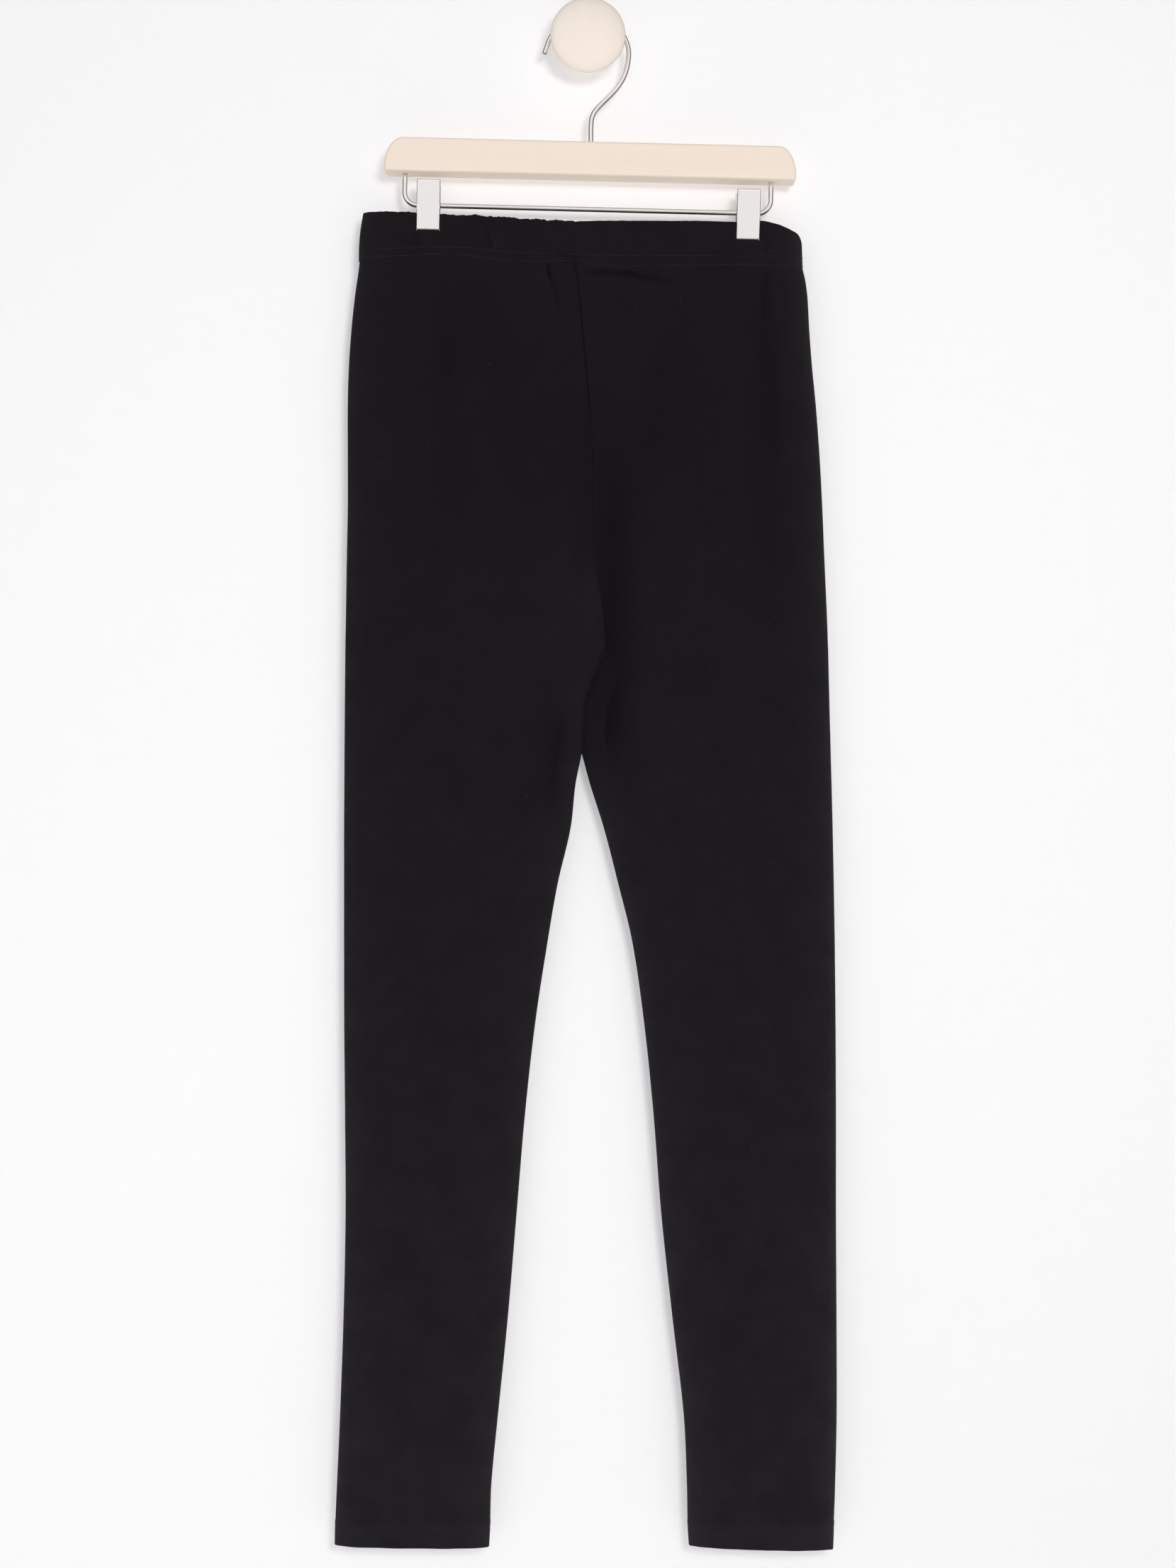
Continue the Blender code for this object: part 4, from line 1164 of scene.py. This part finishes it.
def add_wire(name, points, radius, node):
    """A round wire through the points, its cut ends slightly broken."""
    data = bpy.data.curves.new(name, "CURVE")
    data.dimensions = "3D"
    data.bevel_depth = radius * MM
    data.bevel_resolution = 6
    data.use_fill_caps = True
    ends = [points[0].lerp(points[1], 0.25), points[-1].lerp(points[-2], 0.25)]
    points = [points[0], ends[0]] + list(points[1:-1]) + [ends[1], points[-1]]
    spline = data.splines.new("POLY")
    spline.points.add(len(points) - 1)
    for target, point in zip(spline.points, points):
        target.co = (*(point * MM), 1.0)
    spline.points[0].radius = 0.8
    spline.points[-1].radius = 0.8
    spline.use_smooth = True
    return add_piece(name, data, satin_steel, "satin_steel", node)


satin_steel = make_metal("satin_steel_wire", STEEL, 0.18, STEEL_BRUSHING)

hook_route = [(-31.6, -10.0), (-28.2, -0.4), (-25.4, 3.9)]
for degrees in (140, 115, 90, 65, 40, 20, 0):
    turn = math.radians(degrees)
    hook_route.append((CROOK_CENTRE[0] + CROOK_RADIUS * math.cos(turn),
                       CROOK_CENTRE[1] + CROOK_RADIUS * math.sin(turn)))
hook_route += [(27.2, -23.8), (22.1, -33.3), (15.7, -40.6), (9.1, -47.1), (4.8, -52.1), (2.7, -57.3)]
shank_bottom = BAR_CENTRE.z + BAR_HEIGHT / 2 - SHANK_DEPTH
hook_route += [(SHANK_X, -65.0), (SHANK_X, -70.0), (SHANK_X, shank_bottom)]
hook_route = smooth_route([(x, GARMENT_Y, z) for x, z in hook_route], 8)
add_wire("steel_hook", hook_route, WIRE_RADIUS, "hook")

corner = [(RAIL_HALF_WIDTH, -BAR_HEIGHT / 2 + RAIL_SOCKET)]
for turn in quarter_turns(14):
    corner.append((RAIL_HALF_WIDTH - RAIL_BEND * (1.0 - math.cos(turn)),
                   -RAIL_DROP + RAIL_BEND * (1.0 - math.sin(turn))))
rail_outline = [(-x, z) for x, z in corner] + list(reversed(corner))
rail_route = [on_hanger(x + RAIL_SHIFT, 0.0, z) for x, z in rail_outline]
add_wire("steel_rail", rail_route, WIRE_RADIUS, "rail")


# Clips
# Two pairs of satin nickel plates turn on the rail, and a coil of spring wire between their
# ears presses them on the waistband. The front plates are stamped, with rolled edges and two
# pierced ears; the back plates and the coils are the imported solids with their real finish.
PLATE_WIDTH = 17.0
PLATE_HEIGHT = 36.1
PLATE_THICKNESS = 0.9
PLATE_LEAN = math.radians(6.0)
PLATE_GRIP = 3.1
PLATE_ROLL = 1.1
EAR_REACH = 5.6
EAR_RADIUS = 4.25
EAR_THICKNESS = 0.9
EAR_INSET = 0.7
EAR_STEPS = 40
NICKEL = (0.91, 0.878, 0.848)
NICKEL_BRUSHING = (500.0, 500.0, 2500.0)
Clip = namedtuple("Clip", "side x drop")
CLIPS = (Clip("left", -116.3, 0.6), Clip("right", 115.1, 2.0))


def on_plate(clip, x, depth, z):
    """The place of a point of a leaning plate, depth being measured outwards from its grip."""
    leaning = Matrix.Rotation(PLATE_LEAN, 3, "X") @ Vector((x, -depth, z))
    back = PLATE_GRIP + PLATE_HEIGHT / 2 * math.sin(PLATE_LEAN)
    return on_hanger(clip.x + leaning.x, leaning.y - back, leaning.z - RAIL_DROP - clip.drop) * MM


def across_plate(size):
    """Places across a plate, close together where its edge is rolled."""
    edge = [0.0, 0.05, 0.15, 0.3, 0.5, 0.75, 1.1, 2.0]
    half = [-size / 2 + place for place in edge]
    return half + [0.0] + [-place for place in reversed(half)]


def add_plate(points, faces, clip):
    """The plate, its edges rolled back, as an outer and an inner face joined round the rim."""
    xs, zs = across_plate(PLATE_WIDTH), across_plate(PLATE_HEIGHT)
    columns, count = len(xs), len(xs) * len(zs)
    for inner in (0.0, PLATE_THICKNESS):
        for z in zs:
            for x in xs:
                aside = max(PLATE_ROLL - PLATE_WIDTH / 2 + abs(x), 0.0)
                above = max(PLATE_ROLL - PLATE_HEIGHT / 2 + abs(z), 0.0)
                turned = min(math.hypot(aside, above), PLATE_ROLL)
                roll = PLATE_ROLL - math.sqrt(PLATE_ROLL ** 2 - turned ** 2)
                points.append(on_plate(clip, x, PLATE_THICKNESS - inner - roll, z))
    for row in range(len(zs) - 1):
        for i in range(columns - 1):
            here = row * columns + i
            face = (here, here + 1, here + columns + 1, here + columns)
            faces.append(face)
            faces.append(tuple(corner + count for corner in reversed(face)))
    rim = list(range(columns)) + [row * columns + columns - 1 for row in range(1, len(zs))]
    rim += [count - 2 - i for i in range(columns - 1)]
    rim += [row * columns for row in range(len(zs) - 2, 0, -1)]
    for here, following in zip(rim, rim[1:] + rim[:1]):
        faces.append((here, here + count, following + count, following))


def add_ear(points, faces, clip, x):
    """An ear from the plate back to the rail, pierced for it."""
    first = len(points)
    for offset in (-EAR_THICKNESS / 2, EAR_THICKNESS / 2):
        for pierced in (False, True):
            for out, up in circle(EAR_STEPS):
                reach = EAR_RADIUS
                if out > 0.0:
                    reach = min(EAR_RADIUS / max(abs(up), 0.001), EAR_REACH / out)
                reach = BORE_RADIUS if pierced else reach
                points.append(on_hanger(clip.x + x + offset, -out * reach, up * reach - RAIL_DROP) * MM)
    left, left_hole, right, right_hole = (first + ring * EAR_STEPS for ring in range(4))
    for k in range(EAR_STEPS):
        n = (k + 1) % EAR_STEPS
        faces.append((left + k, left + n, left_hole + n, left_hole + k))
        faces.append((right_hole + k, right_hole + n, right + n, right + k))
        faces.append((left + k, right + k, right + n, left + n))
        faces.append((left_hole + n, right_hole + n, right_hole + k, left_hole + k))


satin_nickel = make_metal("satin_nickel_plate", NICKEL, 0.34, NICKEL_BRUSHING)
for clip in CLIPS:
    points, faces = [], []
    add_plate(points, faces, clip)
    for side in (-1, 1):
        add_ear(points, faces, clip, side * (PLATE_WIDTH / 2 - EAR_INSET))
    mesh = new_mesh(f"{clip.side}_clip_front", points, faces)
    mend(mesh, outwards=True)
    shade(mesh, 50.0)
    add_piece(f"{clip.side}_clip_front", mesh, satin_nickel, "satin_nickel", f"clip_{clip.side}_front")
    bpy.data.objects[f"clip_{clip.side}_back"].material_slots[0].material = satin_nickel
    bpy.data.objects[f"clip_{clip.side}_spring"].material_slots[0].material = satin_steel


# Wall knob
# A head and neck turned from one piece of pale wood, with a gently domed face. Its flat back
# stands on the wall, and the hook lies on its neck.
KNOB_HEAD_RADIUS = 27.0
KNOB_NECK_RADIUS = 15.0
KNOB_NECK_LENGTH = 26.5
KNOB_DEPTH = 40.5
KNOB_DOME = 7.9
KNOB_DOME_POWER = 2.3
KNOB_BACK_ROUNDING = 8.0
KNOB_SEGMENTS = 96
KNOB_PALE = (0.845, 0.757, 0.685, 1.0)
KNOB_DARK = (0.828, 0.732, 0.652, 1.0)
KNOB_GRAIN = (70.0, 20.0, 14.0)


def knob_profile():
    """The turned profile as (radius, height above the wall), from the face to the wall."""
    profile = []
    for turn in quarter_turns(32):
        share = math.sin(turn)
        rise = max(1.0 - share ** KNOB_DOME_POWER, 0.0) ** 0.5
        profile.append((KNOB_HEAD_RADIUS * share, KNOB_DEPTH - KNOB_DOME * (1.0 - rise)))
    widest = KNOB_DEPTH - KNOB_DOME - KNOB_NECK_LENGTH
    for turn in quarter_turns(12)[1:]:
        profile.append((KNOB_HEAD_RADIUS - KNOB_BACK_ROUNDING * (1.0 - math.cos(turn)),
                        KNOB_NECK_LENGTH + widest * (1.0 - math.sin(turn))))
    return profile + [(KNOB_NECK_RADIUS, KNOB_NECK_LENGTH), (KNOB_NECK_RADIUS, 0.0), (0.0, 0.0)]


knob_wood = make_wood("knob_maple", KNOB_PALE, KNOB_DARK, KNOB_GRAIN, 0.08)
profile = knob_profile()
points, faces = [], []
for radius, height in profile:
    for cosine, sine in circle(KNOB_SEGMENTS):
        points.append(Vector((radius * cosine, -height, radius * sine)) * MM)
for ring in range(len(profile) - 1):
    for k in range(KNOB_SEGMENTS):
        here, following = ring * KNOB_SEGMENTS + k, ring * KNOB_SEGMENTS + (k + 1) % KNOB_SEGMENTS
        faces.append((here, here + KNOB_SEGMENTS, following + KNOB_SEGMENTS, following))
knob_mesh = new_mesh("turned_knob", points, faces)
mend(knob_mesh, weld=True, outwards=True)
shade(knob_mesh, 50.0)
add_piece("turned_knob", knob_mesh, knob_wood, "knob_wood", "knob")


# Studio
# A plain white wall that the knob stands on, a pale floor below, an even soft light from the
# front and one firmer light from the upper right. The wall is clear when seen from behind, so
# that the back of the object shows.
WALL_HALF_WIDTH = 2.6
WALL_TOP = 2.2
FLOOR_Z = -1.36
FLOOR_REACH = 3.0
WALL_Y = 0.0003
WALL_WHITE = (0.894, 0.891, 0.899, 1.0)
FLOOR_WHITE = (0.86, 0.86, 0.86, 1.0)
ROOM_WHITE = (0.99, 0.99, 1.015, 1.0)
BACKDROP_WHITE = (0.94, 0.94, 0.945, 1.0)
PAINT_IN_SHINE = -0.65
CAMERA_PLACE = (0.0, -1.562, -0.539)
CAMERA_LENS = 48.8

# The room's strength rises between two shares of how squarely a direction faces the front
SOFT_BOX = (0.55, 0.9, 0.11, 0.6)
PANELS = (0.3, 0.66, 0.1, 1.17)
BETWEEN_PANELS = (0.94, 0.985, 0.0, 0.23)

Lamp = namedtuple("Lamp", "name kind place towards power size colour shadows")
LAMPS = (
    Lamp("key_light", "AREA", (0.4, -1.98, -0.117), (0.0, 0.0, -0.5), 12.8, 0.45, (1.0, 0.99, 0.975), True),
    Lamp("low_fill", "AREA", (-0.9, -2.2, -2.1), (-0.6, 0.0, -0.8), 16.7, 1.3, (0.99, 0.99, 1.0), False),
    Lamp("front_fill", "AREA", (-0.4, -4.0, 0.3), (0.0, 0.0, -0.45), 44.5, 1.8, (1.0, 1.0, 1.0), False),
    Lamp("under_fill", "AREA", (0.0, 1.6, -1.7), (0.0, 0.0, -0.1), 15.5, 0.5, (1.0, 0.985, 0.96), False),
    Lamp("back_light", "SUN", (-0.2, 1.0, 0.35), (0.0, 0.0, 0.0), 0.35, 1.0, (1.0, 1.0, 1.0), True),
)


def make_plaster(name, colour):
    """Matte white paint, dimmer in the wires' shine, that lets the lights' rays through, and the
    camera from behind."""
    finish, tree, shader, place = begin_finish(name)
    grain = fit_range(tree, speckle(tree, place, 60.0), 0.0, 1.0, 0.995, 1.005)
    ray = add_node(tree, "ShaderNodeLightPath").outputs
    shown = calculate(tree, "MULTIPLY_ADD", ray["Is Glossy Ray"], PAINT_IN_SHINE, grain)
    toned = scale_vector(tree, colour_of(tree, colour), shown)
    paint = add_node(tree, "ShaderNodeBsdfDiffuse", {"Color": toned})
    output = tree.nodes["Material Output"]
    tree.nodes.remove(shader)
    from_behind = add_node(tree, "ShaderNodeNewGeometry").outputs["Backfacing"]
    open_share = calculate(tree, "MAXIMUM", from_behind, ray["Is Shadow Ray"])
    clear = add_node(tree, "ShaderNodeBsdfTransparent")
    mixed = add_node(tree, "ShaderNodeMixShader", {0: open_share, 1: paint.outputs[0], 2: clear.outputs[0]})
    tree.links.new(mixed.outputs[0], output.inputs["Surface"])
    return finish


def colour_of(tree, colour):
    made = add_node(tree, "ShaderNodeRGB")
    made.outputs[0].default_value = colour
    return made.outputs[0]


def add_plane(name, corners, finish):
    mesh = new_mesh(name, corners, [tuple(range(len(corners)))])
    mesh.materials.append(finish)
    plane = put_in_scene(name, mesh)


half, top, low = WALL_HALF_WIDTH, WALL_TOP, FLOOR_Z
wall_corners = [(-half, WALL_Y, low), (half, WALL_Y, low), (half, WALL_Y, top), (-half, WALL_Y, top)]
floor_corners = [(-half, -FLOOR_REACH, low), (half, -FLOOR_REACH, low), (half, FLOOR_REACH, low),
                 (-half, FLOOR_REACH, low)]
add_plane("studio_wall", wall_corners, make_plaster("wall_paint", WALL_WHITE))
add_plane("studio_floor", floor_corners, make_plaster("floor_paint", FLOOR_WHITE))

world = bpy.data.worlds.new("soft room")
bpy.context.scene.world = world
world.use_nodes = True
tree = world.node_tree
direction = add_node(tree, "ShaderNodeTexCoord").outputs["Generated"]
inputs = {0: direction, 1: (0.0, -1.0, 0.0)}
facing = add_node(tree, "ShaderNodeVectorMath", inputs, operation="DOT_PRODUCT").outputs["Value"]
strips = (SOFT_BOX, PANELS, BETWEEN_PANELS)
soft_box, panels, between = (fit_range(tree, facing, *strip) for strip in strips)
ray = add_node(tree, "ShaderNodeLightPath").outputs
seen = ray["Is Camera Ray"]
shine = calculate(tree, "SUBTRACT", calculate(tree, "SUBTRACT", panels, between), soft_box)
strength = calculate(tree, "MULTIPLY_ADD", ray["Is Glossy Ray"], shine, soft_box)
room = add_node(tree, "ShaderNodeBackground", {"Color": ROOM_WHITE, "Strength": strength})
backdrop = add_node(tree, "ShaderNodeBackground", {"Color": BACKDROP_WHITE, "Strength": 1.0})
mixed = add_node(tree, "ShaderNodeMixShader", {0: seen, 1: room.outputs[0], 2: backdrop.outputs[0]})
output = tree.nodes.get("World Output") or tree.nodes.new("ShaderNodeOutputWorld")
tree.links.new(mixed.outputs[0], output.inputs["Surface"])


def add_lamp(lamp):
    """A soft lamp at a place, turned towards another one; size is its width, or a sun's angle."""
    data = bpy.data.lights.new(lamp.name, lamp.kind)
    data.energy = lamp.power
    data.color = lamp.colour
    data.use_shadow = lamp.shadows
    if lamp.kind == "SUN":
        data.angle = lamp.size
    else:
        data.shape = "DISK"
        data.size = lamp.size
    made = put_in_scene(lamp.name, data)
    made.location = lamp.place
    made.rotation_euler = (Vector(lamp.towards) - Vector(lamp.place)).to_track_quat("-Z", "Y").to_euler()
    made.visible_camera = False
    made.visible_glossy = False


for lamp in LAMPS:
    add_lamp(lamp)

camera_data = bpy.data.cameras.new("front camera")
camera_data.sensor_width = 36.0
camera_data.lens = CAMERA_LENS
camera_data.clip_start = 0.05
camera = put_in_scene("front camera", camera_data)
camera.location = CAMERA_PLACE
camera.rotation_euler = (math.pi / 2, 0.0, 0.0)
bpy.context.scene.camera = camera
bpy.context.scene.view_settings.view_transform = "Standard"
bpy.context.scene.view_settings.look = "None"
